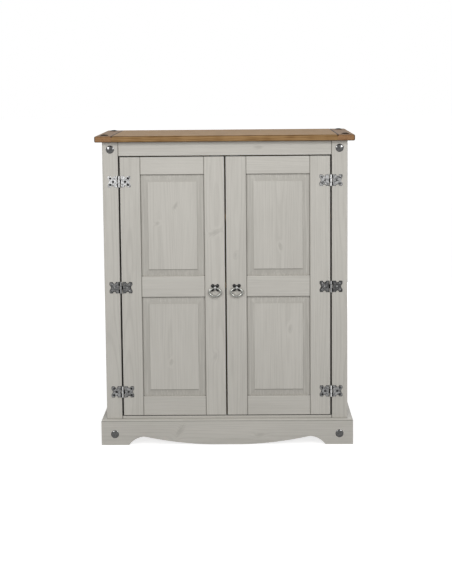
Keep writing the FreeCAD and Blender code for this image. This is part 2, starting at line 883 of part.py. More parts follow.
def make_handle_eye():
    outer = eye_hole_radius + 2 * eye_wire_radius
    eased = outer - eye_wire_radius * eye_ease_share
    shoulder = eye_wire_radius * (1 - eye_ease_share)
    profile = [(eased, -eye_wire_radius), (outer, -shoulder), (outer, shoulder), (eased, eye_wire_radius)]
    loop = faceted(profile, turned_sides)
    hole = Part.makeCylinder(eye_hole_radius, 4 * eye_wire_radius, Vector(0, 0, -2 * eye_wire_radius), upward)
    hole = driven(hole, Vector(-handle_x, eye_y, handle_height), across)
    loop = driven(loop, Vector(-handle_x, eye_y, handle_height), across)
    neck_tip = plate_thickness + 3 * eye_wire_radius / 2
    neck = faceted([(eye_neck_radius, plate_thickness), (eye_neck_radius, neck_tip)], screw_sides)
    stem = driven(joined([neck, eye_shank(0)]), Vector(-handle_x, face_y, handle_height), forward)
    return joined([loop, stem]).cut(hole)


def make_handle_nut():
    nut = faceted([(nut_radius, -door_thickness - nut_thickness), (nut_radius, -door_thickness)], nut_sides)
    return driven(nut.cut(eye_shank(0)), Vector(-handle_x, face_y, handle_height), forward)


def make_handle_ring():
    return placed(wire_ring(ring_radius, ring_wire_radius), -handle_x, eye_y, handle_height - ring_radius)


# Magnetic catches behind the lintel, and the plates that they hold
def magnet_middle():
    return magnet_from_middle + magnet_width / 2


def make_magnet():
    front = face_y + face_rail_thickness
    middle = magnet_middle()
    low = lintel + magnet_rail_overlap - magnet_height
    case = (-middle - magnet_width / 2, -middle + magnet_width / 2,
            front, front + magnet_depth, low, low + magnet_height)
    pole_front = door_back + catch_plate_thickness + catch_gap
    poles = (-middle - pole_width / 2, -middle + pole_width / 2, pole_front, front + overrun,
             low + pole_rise, low + pole_rise + pole_height)
    return joined([solid(case), solid(poles)])


def make_catch_plate():
    middle = magnet_middle()
    low = lintel + magnet_rail_overlap - magnet_height + pole_rise
    half = pole_width / 2 + catch_plate_margin
    return solid((-middle - half, -middle + half, door_back, door_back + catch_plate_thickness,
                  low - catch_plate_margin, low + pole_height))


# Every piece by the name of its node
pieces = {}
pieces["top_panel"], pieces["top_end_left"], pieces["top_end_right"] = make_top()
post_cuts = at_hinge_screws(screw_shank(0), -1) + [dome_hole(*place) for place in post_dome_places()]
front_post, back_post = make_posts(post_cuts)
pieces["face_top_rail"], pieces["face_bottom_rail"] = make_face_rails()
pieces["back_top_rail"], pieces["back_bottom_rail"] = make_back_rails()
side_top_rail, side_bottom_rail = make_side_rails()
side_panel = make_side_panel()
pieces["back_boards"] = make_back_boards()
pieces["floor_panel"] = make_floor()
pieces["shelf_lower"] = make_shelf(shelf_low_z)
pieces["shelf_upper"] = make_shelf(shelf_high_z)
pieces["shelf_bearers"] = make_bearers()
pieces["plinth_front"], pieces["plinth_left"], pieces["plinth_right"] = make_plinth()
pieces["top_buttons"] = make_buttons()
pieces["dome_nails"] = make_domes()

hinge_stile, meeting_stile, door_rails = make_door_frame()
left_hand = {
    "front_post": front_post,
    "back_post": back_post,
    "side_top_rail": side_top_rail,
    "side_bottom_rail": side_bottom_rail,
    "side_panel": side_panel,
    "door_hinge_stile": hinge_stile,
    "door_meeting_stile": meeting_stile,
    "door_top_rail": door_rails["top"],
    "door_mid_rail": door_rails["mid"],
    "door_bottom_rail": door_rails["bottom"],
    "door_upper_panel": make_door_panel("upper"),
    "door_lower_panel": make_door_panel("lower"),
    "door_hinge_leaves": Part.makeCompound(at_hinges(hinge_leaf(1))),
    "door_hinge_screws": Part.makeCompound(at_hinge_screws(screw(), 1)),
    "handle_plate": make_handle_plate(),
    "handle_eye": make_handle_eye(),
    "handle_nut": make_handle_nut(),
    "handle_ring": make_handle_ring(),
    "catch_plate": make_catch_plate(),
}
for name, shape in left_hand.items():
    pieces[name + "_left"] = shape
    pieces[name + "_right"] = mirrored(shape)

both_hands = {
    "hinge_post_leaves": at_hinges(hinge_leaf(-1)),
    "hinge_pins": at_hinges(hinge_pin()),
    "hinge_post_screws": at_hinge_screws(screw(), -1),
    "catch_magnets": [make_magnet()],
}
for name, shapes in both_hands.items():
    pieces[name] = Part.makeCompound(shapes + [mirrored(shape) for shape in shapes])

os.makedirs("parts", exist_ok=True)
for name, shape in pieces.items():
    shape.exportStep("parts/" + name + ".step")
    print(name, "solids", len(shape.Solids), "valid", shape.isValid(), "volume", round(shape.Volume))
print("pieces", len(pieces))
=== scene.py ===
# %% [markdown]
# # A pine cupboard, grey washed, with a waxed top
# This lesson dresses a cupboard that was drawn and packed as a CAD model. The model
# gives every board, hinge and handle its true place. The lesson adds wood grain, wax,
# metal and soft studio light, and makes the small turned and cast pieces again with
# the smooth curves that the real ones have.

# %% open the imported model
import math
import random
import bmesh
import bpy
from mathutils import Matrix, Vector


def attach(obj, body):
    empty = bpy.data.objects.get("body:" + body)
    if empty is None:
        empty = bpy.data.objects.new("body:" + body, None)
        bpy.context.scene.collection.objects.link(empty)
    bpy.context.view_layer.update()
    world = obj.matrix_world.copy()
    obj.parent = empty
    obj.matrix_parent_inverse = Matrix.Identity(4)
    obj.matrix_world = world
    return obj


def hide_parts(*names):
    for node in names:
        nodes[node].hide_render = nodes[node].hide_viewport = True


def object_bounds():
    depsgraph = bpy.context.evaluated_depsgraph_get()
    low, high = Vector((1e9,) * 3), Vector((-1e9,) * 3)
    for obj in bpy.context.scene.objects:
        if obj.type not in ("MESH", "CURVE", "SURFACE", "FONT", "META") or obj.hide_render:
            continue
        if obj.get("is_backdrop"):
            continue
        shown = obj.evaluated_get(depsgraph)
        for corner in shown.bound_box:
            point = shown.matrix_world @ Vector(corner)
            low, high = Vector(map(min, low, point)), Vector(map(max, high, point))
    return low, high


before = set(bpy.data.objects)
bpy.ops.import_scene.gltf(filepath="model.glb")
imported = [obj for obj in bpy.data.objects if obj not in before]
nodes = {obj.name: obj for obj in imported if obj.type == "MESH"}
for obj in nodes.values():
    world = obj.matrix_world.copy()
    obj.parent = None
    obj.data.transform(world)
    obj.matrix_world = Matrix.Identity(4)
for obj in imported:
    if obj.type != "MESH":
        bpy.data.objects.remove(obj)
cad_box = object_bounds()

# %% [markdown]
# ## The camera
# The photograph was taken from a little over the top's height, with the camera held
# nearly level, so the posts stay upright. Here the camera looks down by a few degrees
# and a small vertical shift of the lens does the rest. A larger shift would be truer
# from the front, but it would push the cupboard out of the frame from other sides.

# %% camera
mm = 0.001
photo_height = 584
focal_pixels = 1216.5
camera_data = bpy.data.cameras.new("camera")
camera_data.sensor_width = 36.0
camera_data.lens = focal_pixels * camera_data.sensor_width / photo_height
camera_data.shift_y = -0.17
camera = bpy.data.objects.new("camera", camera_data)
bpy.context.collection.objects.link(camera)
camera_place = Vector((71.2, -4500.0, 1350.0)) * mm
# The three turns are in radians. A camera looks straight down until it is raised by 90 degrees.
yaw, pitch, roll = 0.0157, -0.1007, -0.0091
camera.matrix_world = (
    Matrix.Translation(camera_place)
    @ Matrix.Rotation(yaw, 4, "Z")
    @ Matrix.Rotation(math.radians(90) + pitch, 4, "X")
    @ Matrix.Rotation(roll, 4, "Z")
)
bpy.context.scene.camera = camera
print("lens", round(camera_data.lens, 1), "mm")

# %% [markdown]
# ## Colours as the eye names them
# Paint and wood are easier to name as they look on a screen, from 0 to 255. Light is
# added up on another scale, so each colour is turned into it once, here.


# %% colour helper
def seen(red, green, blue):
    """A colour as it looks on a screen, as the renderer wants it."""
    def linear(part):
        part /= 255
        return part / 12.92 if part <= 0.04045 else ((part + 0.055) / 1.055) ** 2.4
    return (linear(red), linear(green), linear(blue), 1.0)


print("mid grey", [round(part, 3) for part in seen(128, 128, 128)])

# %% [markdown]
# ## A recipe for materials
# A material is a small net of nodes. The recipe below has a short word for each sum
# that wood and metal need, so that a finish can be read as a few plain lines. A value
# may be a number or what another node gives: feed takes both.


# %% material recipe
class Recipe:
    """One material's nodes, with short words for sums, noise and blends."""

    def __init__(self, title):
        self.material = bpy.data.materials.new(title)
        self.material.use_nodes = True
        self.tree = self.material.node_tree
        self.tree.nodes.clear()
        self.skin = self.node("ShaderNodeBsdfPrincipled")
        self.end = self.node("ShaderNodeOutputMaterial")
        self.tree.links.new(self.skin.outputs["BSDF"], self.end.inputs["Surface"])

    def node(self, kind, **settings):
        made = self.tree.nodes.new(kind)
        for word, value in settings.items():
            setattr(made, word, value)
        return made

    def feed(self, socket, value):
        if isinstance(value, bpy.types.NodeSocket):
            self.tree.links.new(value, socket)
        else:
            socket.default_value = value

    def sum(self, operation, *values, clamp=False):
        made = self.node("ShaderNodeMath", operation=operation, use_clamp=clamp)
        for socket, value in zip(made.inputs, values):
            self.feed(socket, value)
        return made.outputs[0]

    def add(self, total, *values):
        for value in values:
            total = self.sum("ADD", total, value)
        return total

    def minus(self, value, other):
        return self.sum("SUBTRACT", value, other)

    def times(self, value, other):
        return self.sum("MULTIPLY", value, other)

    def length(self, first, second):
        """How long a step is that goes first one way and then second at a right angle to it."""
        return self.sum("SQRT", self.add(self.sum("POWER", first, 2.0), self.sum("POWER", second, 2.0)))

    def ease(self, value, start, stop, first=0.0, last=1.0):
        """Goes softly from first to last while value goes from start to stop."""
        made = self.node("ShaderNodeMapRange", interpolation_type="SMOOTHSTEP")
        for socket, part in zip(made.inputs, (value, start, stop, first, last)):
            self.feed(socket, part)
        return made.outputs[0]

    def blend(self, share, first, second):
        """The colour first where share is 0, and second where it is 1."""
        made = self.node("ShaderNodeMix", data_type="RGBA")
        for number, part in ((0, share), (6, first), (7, second)):
            self.feed(made.inputs[number], part)
        return made.outputs[2]

    def point(self, *parts):
        made = self.node("ShaderNodeCombineXYZ")
        for socket, part in zip(made.inputs, parts):
            self.feed(socket, part)
        return made.outputs[0]

    def noise(self, place, scale, detail=2.0):
        made = self.node("ShaderNodeTexNoise")
        self.feed(made.inputs["Vector"], place)
        made.inputs["Scale"].default_value = scale
        made.inputs["Detail"].default_value = detail
        return made.outputs[0]

    def swing(self, value, size):
        """Turns a noise of 0 to 1 into one from -size to size."""
        return self.times(self.minus(value, 0.5), 2 * size)

    def hollow(self, reach):
        """Painted shade from ambient occlusion: 1 deep in gaps and corners, 0 on open faces. reach is in
        mm.
        """
        made = self.node("ShaderNodeAmbientOcclusion", samples=12)
        made.inputs["Distance"].default_value = reach * mm
        return self.ease(made.outputs["AO"], 0.20, 0.52, 1.0, 0.0)

    def place(self):
        """Where a point lies in the piece, whole and as its three parts."""
        coordinates = self.node("ShaderNodeTexCoord").outputs["Object"]
        split = self.node("ShaderNodeSeparateXYZ")
        self.feed(split.inputs[0], coordinates)
        return coordinates, dict(zip("xyz", split.outputs))

    def bump(self, height, depth, strength):
        made = self.node("ShaderNodeBump")
        made.inputs["Strength"].default_value = strength
        made.inputs["Distance"].default_value = depth
        self.feed(made.inputs["Height"], height)
        self.feed(self.skin.inputs["Normal"], made.outputs[0])


print("recipe words:", [word for word in dir(Recipe) if not word.startswith("_")])

# %% [markdown]
# ## The colours of pine
# The grey wash is thin: it hides most of the colour of pine and pools darker in joints.
# Shade in gaps, corners, grooves and under edges is painted dark, and edges get a
# painted highlight. Wax does the same in brown, and the top's upper face is painted
# lighter, as a painted sheen. Bare pine is for the inside. Gloss is the roughness of
# each finish and shine is how much it mirrors.

# %% pine palettes
palettes = {
    # Each finish has three tones for marks: one for dark joints that also serves as painted shade under
    # edges and in grooves, one for a painted highlight on edges, and the darkest one for painted shade in
    # gaps and corners, which also darkens the back seams
    "grey_washed_pine": {
        "light": seen(201, 198, 191), "dark": seen(181, 178, 171), "knot": seen(146, 143, 136),
        "pooled": seen(112, 109, 101), "hollow": seen(44, 41, 36), "rubbed": seen(216, 213, 206),
        "gloss": 0.52, "shine": 0.25,
    },
    "waxed_pine": {
        "light": seen(157, 125, 85), "dark": seen(118, 88, 53), "knot": seen(84, 55, 32),
        "pooled": seen(66, 46, 28), "hollow": seen(60, 42, 25), "rubbed": seen(146, 110, 68),
        # The tone of the top's upper face, a painted sheen
        "faded": seen(190, 154, 110), "gloss": 0.50, "shine": 0.08,
    },
    "bare_pine": {
        "light": seen(214, 184, 138), "dark": seen(186, 146, 98), "knot": seen(128, 82, 46),
        "pooled": seen(110, 78, 46), "hollow": seen(110, 80, 50), "rubbed": seen(226, 198, 152),
        "gloss": 0.62, "shine": 0.2,
    },
}
palettes["waxed_ends"] = dict(
    palettes["waxed_pine"],
    light=seen(158, 122, 88), dark=seen(116, 84, 56), faded=seen(150, 126, 102),
)
print("palettes", list(palettes))

# %% [markdown]
# ## Knots
# A knot is where a branch grew through the trunk. On a board it is a dark eye with
# ragged edges, and the rings bend round it. Each one is listed with its place, size and
# slant, because a board's few knots are what people know it by. They could be
# scattered by noise, but then some would fall across a joint.

# %% knots
face_axes = {"x": ("y", "z"), "y": ("x", "z"), "z": ("x", "y")}


def knot(at, size, tilt=0.0, stretch=1.5, depth=0.5, through="y"):
    """A knot that runs through a board along one axis. at and size are in mm, tilt in degrees."""
    return {"at": at, "size": size, "tilt": tilt, "stretch": stretch, "depth": depth, "through": through}


def round_the_knot(recipe, parts, eye):
    """How near a point is to a knot, from 0 to 1, and its ragged distance in knot sizes."""
    first, second = face_axes[eye["through"]]
    turn = math.radians(eye["tilt"])
    across = recipe.minus(parts[first], eye["at"][0] * mm)
    up = recipe.minus(parts[second], eye["at"][1] * mm)
    size = eye["size"] * mm
    reach = size * eye["stretch"]
    long_way = recipe.add(recipe.times(across, math.cos(turn) / reach),
                          recipe.times(up, math.sin(turn) / reach))
    short_way = recipe.add(recipe.times(across, -math.sin(turn) / size),
                           recipe.times(up, math.cos(turn) / size))
    squares = recipe.add(recipe.sum("POWER", long_way, 2.0), recipe.sum("POWER", short_way, 2.0))
    hair_place = recipe.point(recipe.times(long_way, 0.5), recipe.times(short_way, 2.2), eye["at"][0])
    hairs = recipe.noise(hair_place, 1.6, 3.0)
    distance = recipe.add(recipe.sum("SQRT", squares), recipe.swing(hairs, 0.9))
    nearness = recipe.sum("POWER", 2.718, recipe.times(squares, -0.5))
    return nearness, distance


print("a knot:", knot((0.0, 500.0), 8))

# %% [markdown]
# ## Yearly rings
# A board is cut from a trunk, and the trunk is a stack of cones of yearly rings. The
# grain is made the same way: each board gets a place for the trunk's heart, and the
# rings are drawn round it through the whole thickness. So the face, the edges and the
# end of a board agree, as they do on real wood. A stretched picture of stripes would
# be simpler, but it would turn the corner wrongly. A wide panel is glued from several
# staves, and each stave gets a shift of its own, as if from another part of the tree.

# %% yearly rings
dice = random.Random(11)
ring_gap = 4.2 * mm
knot_bend = 9.0


def heart_near(across, depth, far=70.0):
    """A trunk's middle behind the board, so that its face shows long lines and arches."""
    return (across + dice.uniform(-0.6, 0.6) * far, depth + dice.uniform(0.6, 1.3) * far)


def stave_shift(recipe, parts, staves, aside, run):
    """Moves the grain of each stave. staves is the axis across them, the first edge and the width."""
    axis, start, width = staves
    number = recipe.sum("FLOOR", recipe.sum("DIVIDE", recipe.minus(parts[axis], start * mm), width * mm))
    chance = recipe.node("ShaderNodeTexWhiteNoise", noise_dimensions="1D")
    recipe.feed(chance.inputs["W"], number)
    luck = chance.outputs["Value"]
    return recipe.add(aside, recipe.times(luck, 0.05)), recipe.add(run, recipe.times(luck, 3.0))


def yearly_rings(recipe, aside, inwards, run, heart, bends):
    """The dark late wood of each ring, from 0 to 1. The trunk leans and sways a little."""
    lean = dice.uniform(-0.03, 0.03)
    slow = recipe.point(aside, inwards, recipe.times(run, 0.10))
    sway_aside = recipe.swing(recipe.noise(slow, 7.0), 0.010)
    slower = recipe.point(inwards, recipe.times(run, 0.45), aside)
    sway_inwards = recipe.swing(recipe.noise(slower, 3.0), 0.012)
    heart_aside = recipe.add(recipe.minus(aside, heart[0] * mm), recipe.times(run, lean), sway_aside)
    heart_inwards = recipe.add(recipe.minus(inwards, heart[1] * mm), sway_inwards)
    radius = recipe.length(heart_aside, heart_inwards)
    turns = recipe.add(recipe.times(radius, 2 * math.pi / ring_gap), *bends)
    return recipe.ease(recipe.sum("SINE", turns), 0.2, 1.0)


print("ring gap", ring_gap, "m")

# %% [markdown]
# ## Bevels, joints, painted shade and painted highlights
# Wash and wax tell where the maker's hand was. A planed bevel takes darker, partly as
# wash and partly as painted shade, a joint keeps a dark line, shade under an edge and in
# a gap is painted dark, and an edge gets a painted highlight. Each of these is a mark
# with a place in mm, so it lies where the real joint lies. Painted shade from the
# corners alone would be less work, and it is used too, but it doesn't know a joint in
# a flat face.


# %% marks
def outside_of(recipe, parts, axis, low, high):
    """How far a point lies outside a span on one axis; below 0 inside it."""
    from_middle = recipe.minus(parts[axis], (low + high) / 2 * mm)
    return recipe.minus(recipe.sum("ABSOLUTE", from_middle), (high - low) / 2 * mm)


def bevel_wash_and_shade(recipe, parts, bevel, streak):
    """How much darker the bevel round a raised field is: darker wash, more on the end-grain bevels at top
    and bottom, and painted shade that is deepest next to the field.

    bevel is the field's span across the grain and its span along the grain."""
    aside, along = [outside_of(recipe, parts, *span) for span in bevel]
    fall = recipe.sum("MAXIMUM", aside, along)
    crossed = recipe.ease(recipe.minus(along, aside), -0.5 * mm, 0.5 * mm)
    # The streaks and the end-grain share are wash; the part that fades from the field out to the frame is
    # painted shade
    wash_and_shade = recipe.add(recipe.swing(streak, 0.8), recipe.times(crossed, 0.05),
                      recipe.ease(fall, 0.0, 20 * mm, 0.80, 0.45))
    return recipe.times(recipe.ease(fall, -0.4 * mm, 0.8 * mm), wash_and_shade)


def add_mark(recipe, parts, colour, tones, axis, at, half_width, tone, amount, within=None):
    """A line across one axis at a place in mm, in one tone of the finish. within is (axis, low, high)."""
    away = recipe.sum("ABSOLUTE", recipe.minus(parts[axis], at * mm))
    near = recipe.ease(away, half_width * 0.5 * mm, half_width * 1.5 * mm, amount, 0.0)
    if within is not None:
        near = recipe.times(near, recipe.ease(outside_of(recipe, parts, *within), 0.0, 1 * mm, 1.0, 0.0))
    return recipe.blend(near, colour, tones[tone])


print("tones for marks: pooled, rubbed, hollow")

# %% [markdown]
# ## The layers of the grain
# Between the rings, wood has finer and coarser layers: fibres like hairs, streaks as
# long as a hand, and slow clouds of tone. Each is the same noise, drawn out along the
# grain by counting only a small share of the way along it. A figure is the play of
# patches across wide waxed boards.

# %% layers of the grain
grain_axes = {"x": ("y", "z", "x"), "y": ("x", "z", "y"), "z": ("x", "y", "z")}


def grain_depth(recipe, parts, grain, heart, bends, staves, contrast, figure):
    """How dark the grain is, and the late wood, fibres and streaks that it is made of."""
    aside, inwards, run = [parts[axis] for axis in grain_axes[grain]]
    if staves is not None:
        aside, run = stave_shift(recipe, parts, staves, aside, run)

    def drawn_out(share, scale):
        """Noise that is long along the grain: only a share of the way along it counts."""
        return recipe.noise(recipe.point(aside, inwards, recipe.times(run, share)), scale)

    late = yearly_rings(recipe, aside, inwards, run, heart, bends)
    fibre = drawn_out(0.016, 1100.0)
    streak = drawn_out(0.03, 190.0)
    cloud = drawn_out(0.22, 13.0)
    depth = recipe.add(recipe.times(late, 0.26 * contrast), recipe.swing(fibre, 0.34 * contrast),
                       recipe.swing(streak, 0.42 * contrast), recipe.swing(cloud, 0.40))
    if figure:
        patches = recipe.noise(recipe.point(inwards, run, 0.0), 17.0, 1.0)
        depth = recipe.add(depth, recipe.swing(patches, figure))
    return depth, late, fibre, streak


print("grain can run along", list(grain_axes))

# %% [markdown]
# ## A board of pine
# Now the layers go on in the order in which wood and wash have them: the grain, the
# bevel's darker wash and painted shade, knots, the painted sheen of the top's upper
# face, marks, and last the painted shade in corners and gaps.
# The fibres also move the gloss and the surface a little, which keeps a painted board
# from looking like plastic.

# %% board of pine
top_face = 1120.0


def dress(name, material):
    """Puts a material on a node of the CAD model."""
    thing = nodes[name]
    if not thing.material_slots:
        thing.data.materials.append(material)
    for slot in thing.material_slots:
        slot.material = material


def board(name, grain, heart, finish="grey_washed_pine", knots=(), marks=(), bevel=None,
          staves=None, contrast=1.0, figure=0.0):
    """Dresses a node as pine. heart is the trunk's middle in mm on the two axes across the grain."""
    tones = palettes[finish]
    recipe = Recipe(name)
    _, parts = recipe.place()
    eyes = [(eye["depth"], *round_the_knot(recipe, parts, eye)) for eye in knots]
    bends = [recipe.times(nearness, knot_bend) for _, nearness, _ in eyes]
    depth, late, fibre, streak = grain_depth(recipe, parts, grain, heart, bends, staves, contrast, figure)
    if bevel is not None:
        depth = recipe.add(depth, bevel_wash_and_shade(recipe, parts, bevel, streak))
    share = recipe.sum("ADD", 0.20, depth, clamp=True)
    colour = recipe.blend(share, tones["light"], tones["dark"])
    for amount, _, distance in eyes:
        colour = recipe.blend(recipe.ease(distance, 0.1, 1.5, amount, 0.0), colour, tones["knot"])
    # Painted sheen: the top's upper face is painted lighter and paler, as light and sheen from above make
    # it look
    if "faded" in tones:
        upper = recipe.ease(parts["z"], (top_face - 0.8) * mm, (top_face - 0.2) * mm, 0.0, 0.45)
        colour = recipe.blend(upper, colour, tones["faded"])
    for mark in marks:
        colour = add_mark(recipe, parts, colour, tones, *mark)
    # Painted shade: ambient occlusion darkens gaps and corners towards the darkest tone of the finish
    corners = recipe.times(recipe.hollow(7.0), 0.95)
    recipe.feed(recipe.skin.inputs["Base Color"], recipe.blend(corners, colour, tones["hollow"]))
    gloss = recipe.add(tones["gloss"], recipe.swing(fibre, 0.10))
    recipe.feed(recipe.skin.inputs["Roughness"], gloss)
    recipe.skin.inputs["Specular IOR Level"].default_value = tones["shine"]
    relief = recipe.minus(recipe.times(fibre, 0.5), recipe.times(late, 0.5))
    recipe.bump(relief, 0.5 * mm, 0.16)
    dress(name, recipe.material)


print("the top's upper face is", top_face, "mm high")

# %% [markdown]
# ## Which way the grain runs
# Posts, stiles and panels have their grain upright, rails and the plinth's front have
# it across, and the side rails and the end boards of the top run from front to back.
# Wood hardly shrinks along the grain, so a maker lays each board the way in which its
# length has to stay. The marks of a board are its joints and edges, so the sizes of
# the frame come first, in mm from the cupboard's middle and from the floor.

# %% sizes that the marks need
both_sides = (("left", -1), ("right", 1))
sign_of = dict(both_sides)
post_inner, body_half = 379.0, 436.0
post_front = -191.0
side_front, side_back = -146.0, 164.0
ledge_height, bead_height = 92.5, 87.6
door_low, door_high = 104.5, 1044.5
door_outer, door_inner = 374.8, 2.2
opening_outer, opening_inner = 301.8, 75.2
rail_edges = {"top": (981.3, 1044.5), "mid": (539.5, 613.9), "bottom": (104.5, 173.8)}
panel_edges = {"upper": (613.9, 981.3), "lower": (173.8, 539.5)}
side_panel_edges = (173.8, 1020.0)
bevel_width = 26.0
print("door", door_outer - door_inner, "mm wide,", door_high - door_low, "mm high")

# %% [markdown]
# ## The carcass
# Each side is a frame of two posts and two rails round a raised panel, like a door.
# A front post has a dark line down its inner edge, a joint by the rails and painted
# shade beside the door, a deeper painted shade in the door gap, a dark line with painted
# shade over the plinth's ledge, and a painted highlight on its outer edge. The knots of
# the side panels are large, because few boards of that width come without one.

# %% carcass boards
on_the_face = ("y", post_front - 2, post_front + 2)
beside_the_door = ("z", door_low - 1.5, door_high + 2.5)
# The bead's dark line in the quirk of the plinth's moulding is partly painted shade
bead = ("z", bead_height, 1.1, "pooled", 0.5)
for side, sign in both_sides:
    middle = sign * (post_inner + body_half) / 2
    # Inner edge: dark joint and painted shade; outer edge: painted highlight; door gap: painted shade;
    # ledge: dark line with painted shade
    marks = [
        ("x", sign * post_inner, 1.7, "pooled", 0.7),
        ("x", sign * (body_half - 1.5), 1.6, "rubbed", 0.25),
        ("x", sign * post_inner, 1.0, "hollow", 0.7, beside_the_door),
        ("z", ledge_height, 1.7, "pooled", 0.5, on_the_face),
    ]
    name = "front_post_" + side
    board(name, "z", heart_near(middle, -170), marks=marks)
    name = "back_post_" + side
    board(name, "z", heart_near(middle, 160))
    marks = [("y", y, 1.9, "pooled", 0.75) for y in (side_front, side_back)]
    for level in ("top", "bottom"):
        name = "side_%s_rail_%s" % (level, side)
        board(name, "y", heart_near(sign * 400, 600), marks=marks)
    name = "side_panel_" + side
    field = (("y", side_front + bevel_width, side_back - bevel_width),
             ("z", side_panel_edges[0] + bevel_width, side_panel_edges[1] - bevel_width))
    knots = [knot((40.0, 700.0), 9, 80, 1.4, 0.55, "x"), knot((-70.0, 380.0), 7, 95, 1.6, 0.5, "x")]
    board(name, "z", (sign * 340, 20), knots=knots, bevel=field)
    name = "plinth_" + side
    board(name, "y", heart_near(sign * 440, 60), marks=[bead])
print("posts and sides dressed")

# %% [markdown]
# ## Rails and plinth
# The boards across the front have their grain level. The ledge over the plinth and
# the small moulding on the plinth's upper edge are shown by one dark line each, partly
# painted shade in the corner and in the quirk. The rails at the back are never seen
# from outside, so they stay bare.

# %% boards across the front and back
marks = [("x", x, 1.7, "pooled", 0.7) for x in (-post_inner, post_inner)]
knots = [knot((120.0, 1076.0), 7, 0, 2.4, 0.35)]
board("face_top_rail", "x", (-150, 1010), marks=marks, knots=knots)
# A dark line with painted shade where the rail meets the plinth's ledge
marks.append(("z", ledge_height, 1.7, "pooled", 0.5))
board("face_bottom_rail", "x", (-140, 20), marks=marks)
knots = [knot((-170.0, 52.0), 10, 55, 2.6, 0.32), knot((118.0, 36.0), 7, 10, 2.4, 0.3)]
board("plinth_front", "x", (-130, 10), marks=[bead], knots=knots)
for name in ("back_top_rail", "back_bottom_rail"):
    board(name, "x", heart_near(180, 500), "bare_pine")
print("rails and plinth dressed")

# %% [markdown]
# ## The doors
# Each door is a frame of two stiles and three rails round two loose panels. The
# panels are raised and fielded: a flat field with a wide bevel round it. A plane
# tears a bevel a little across the end grain, so the wash takes darker there, and the
# bevel gets painted shade next to the field. The gaps round a door are painted dark as
# shade, the door's lower edge and the upper edges of the lower rails get a painted
# highlight, a painted shadow runs under the top and middle rails and the field's lower
# step, and the grooves keep dark lines with painted shade.

# %% door boards
panel_knots = {
    ("upper", "left"): [knot((-178.0, 868.0), 6, 60, 2.6, 0.42), knot((-243.0, 806.0), 5, 20, 1.6, 0.35)],
    ("upper", "right"): [knot((196.0, 720.0), 6, 100, 2.2, 0.35)],
    ("lower", "left"): [knot((-200.0, 300.0), 6, 80, 2.0, 0.30)],
    ("lower", "right"): [knot((230.0, 420.0), 6, 85, 2.4, 0.32)],
}
stile_knots = {
    "left": [knot((-38.0, 772.0), 8, 25, 2.8, 0.34), knot((-40.0, 320.0), 7, 70, 2.0, 0.25)],
    "right": [knot((36.0, 690.0), 6, 80, 2.0, 0.25)],
}
for side, sign in both_sides:
    # The door's lower edge gets a painted highlight, its upper edge painted shade from the gap
    edges = [("z", door_low, 1.0, "rubbed", 0.5), ("z", door_high, 1.0, "hollow", 0.6)]
    name = "door_hinge_stile_" + side
    # A dark line with painted shade at the panel's groove, and painted shade in the gap at the post
    marks = edges + [("x", sign * opening_outer, 1.5, "pooled", 0.62),
                     ("x", sign * door_outer, 1.0, "hollow", 0.8)]
    board(name, "z", heart_near(sign * 340, -180), marks=marks)
    name = "door_meeting_stile_" + side
    # A dark line with painted shade at the panel's groove, and painted shade in the gap between the doors
    marks = edges + [("x", sign * opening_inner, 1.5, "pooled", 0.62),
                     ("x", sign * door_inner, 0.8, "hollow", 0.5)]
    board(name, "z", heart_near(sign * 38, -180), marks=marks, knots=stile_knots[side])
    for level, (low, high) in rail_edges.items():
        name = "door_%s_rail_%s" % (level, side)
        marks = [("x", sign * x, 1.5, "pooled", 0.62) for x in (opening_outer, opening_inner)]
        # Painted shade in the gap over the top rail, a painted highlight on the other rails' upper edges,
        # and a painted shadow under the top and middle rails
        if level == "top":
            marks.append(("z", high, 1.0, "hollow", 0.6))
        else:
            marks.append(("z", high, 1.5, "rubbed", 0.6))
        if level != "bottom":
            marks.append(("z", low, 1.3, "pooled", 0.6))
        board(name, "x", heart_near(-160, (low + high) / 2, 50), marks=marks)
    for level, (low, high) in panel_edges.items():
        name = "door_%s_panel_%s" % (level, side)
        span = sorted((sign * (opening_inner + bevel_width), sign * (opening_outer - bevel_width)))
        field = (("x", *span), ("z", low + bevel_width, high - bevel_width))
        # A painted shadow under the field's lower step and under the rail at the panel's top, and dark
        # lines with painted shade at the grooves
        marks = [("z", low + bevel_width - 1.6, 1.7, "pooled", 0.38, field[0]),
                 ("z", high, 1.7, "pooled", 0.5)]
        marks += [("x", sign * x, 1.8, "pooled", 0.35) for x in (opening_inner, opening_outer)]
        board(name, "z", heart_near(sign * 190, -180, 60), marks=marks, bevel=field,
              knots=panel_knots[level, side])
print("door boards dressed")

# %% [markdown]
# ## The top
# The top is the one place where the pine shows its own colour, under brown wax. The
# wax gathers in the V joints at the end boards, and the lower edge and the arrises get
# darker lines that are partly wax and partly painted shade. The middle is glued from
# four staves.

# %% top boards
top_front, top_side, top_low = -215.0, 460.0, 1098.0
joint_x, stave_width = 400.0, 107.5
on_the_top = ("z", top_face - 2, top_face + 2)
joints = [("x", x, 3.2, "pooled", 1.0, ("z", top_face - 4, top_face + 10)) for x in (-joint_x, joint_x)]
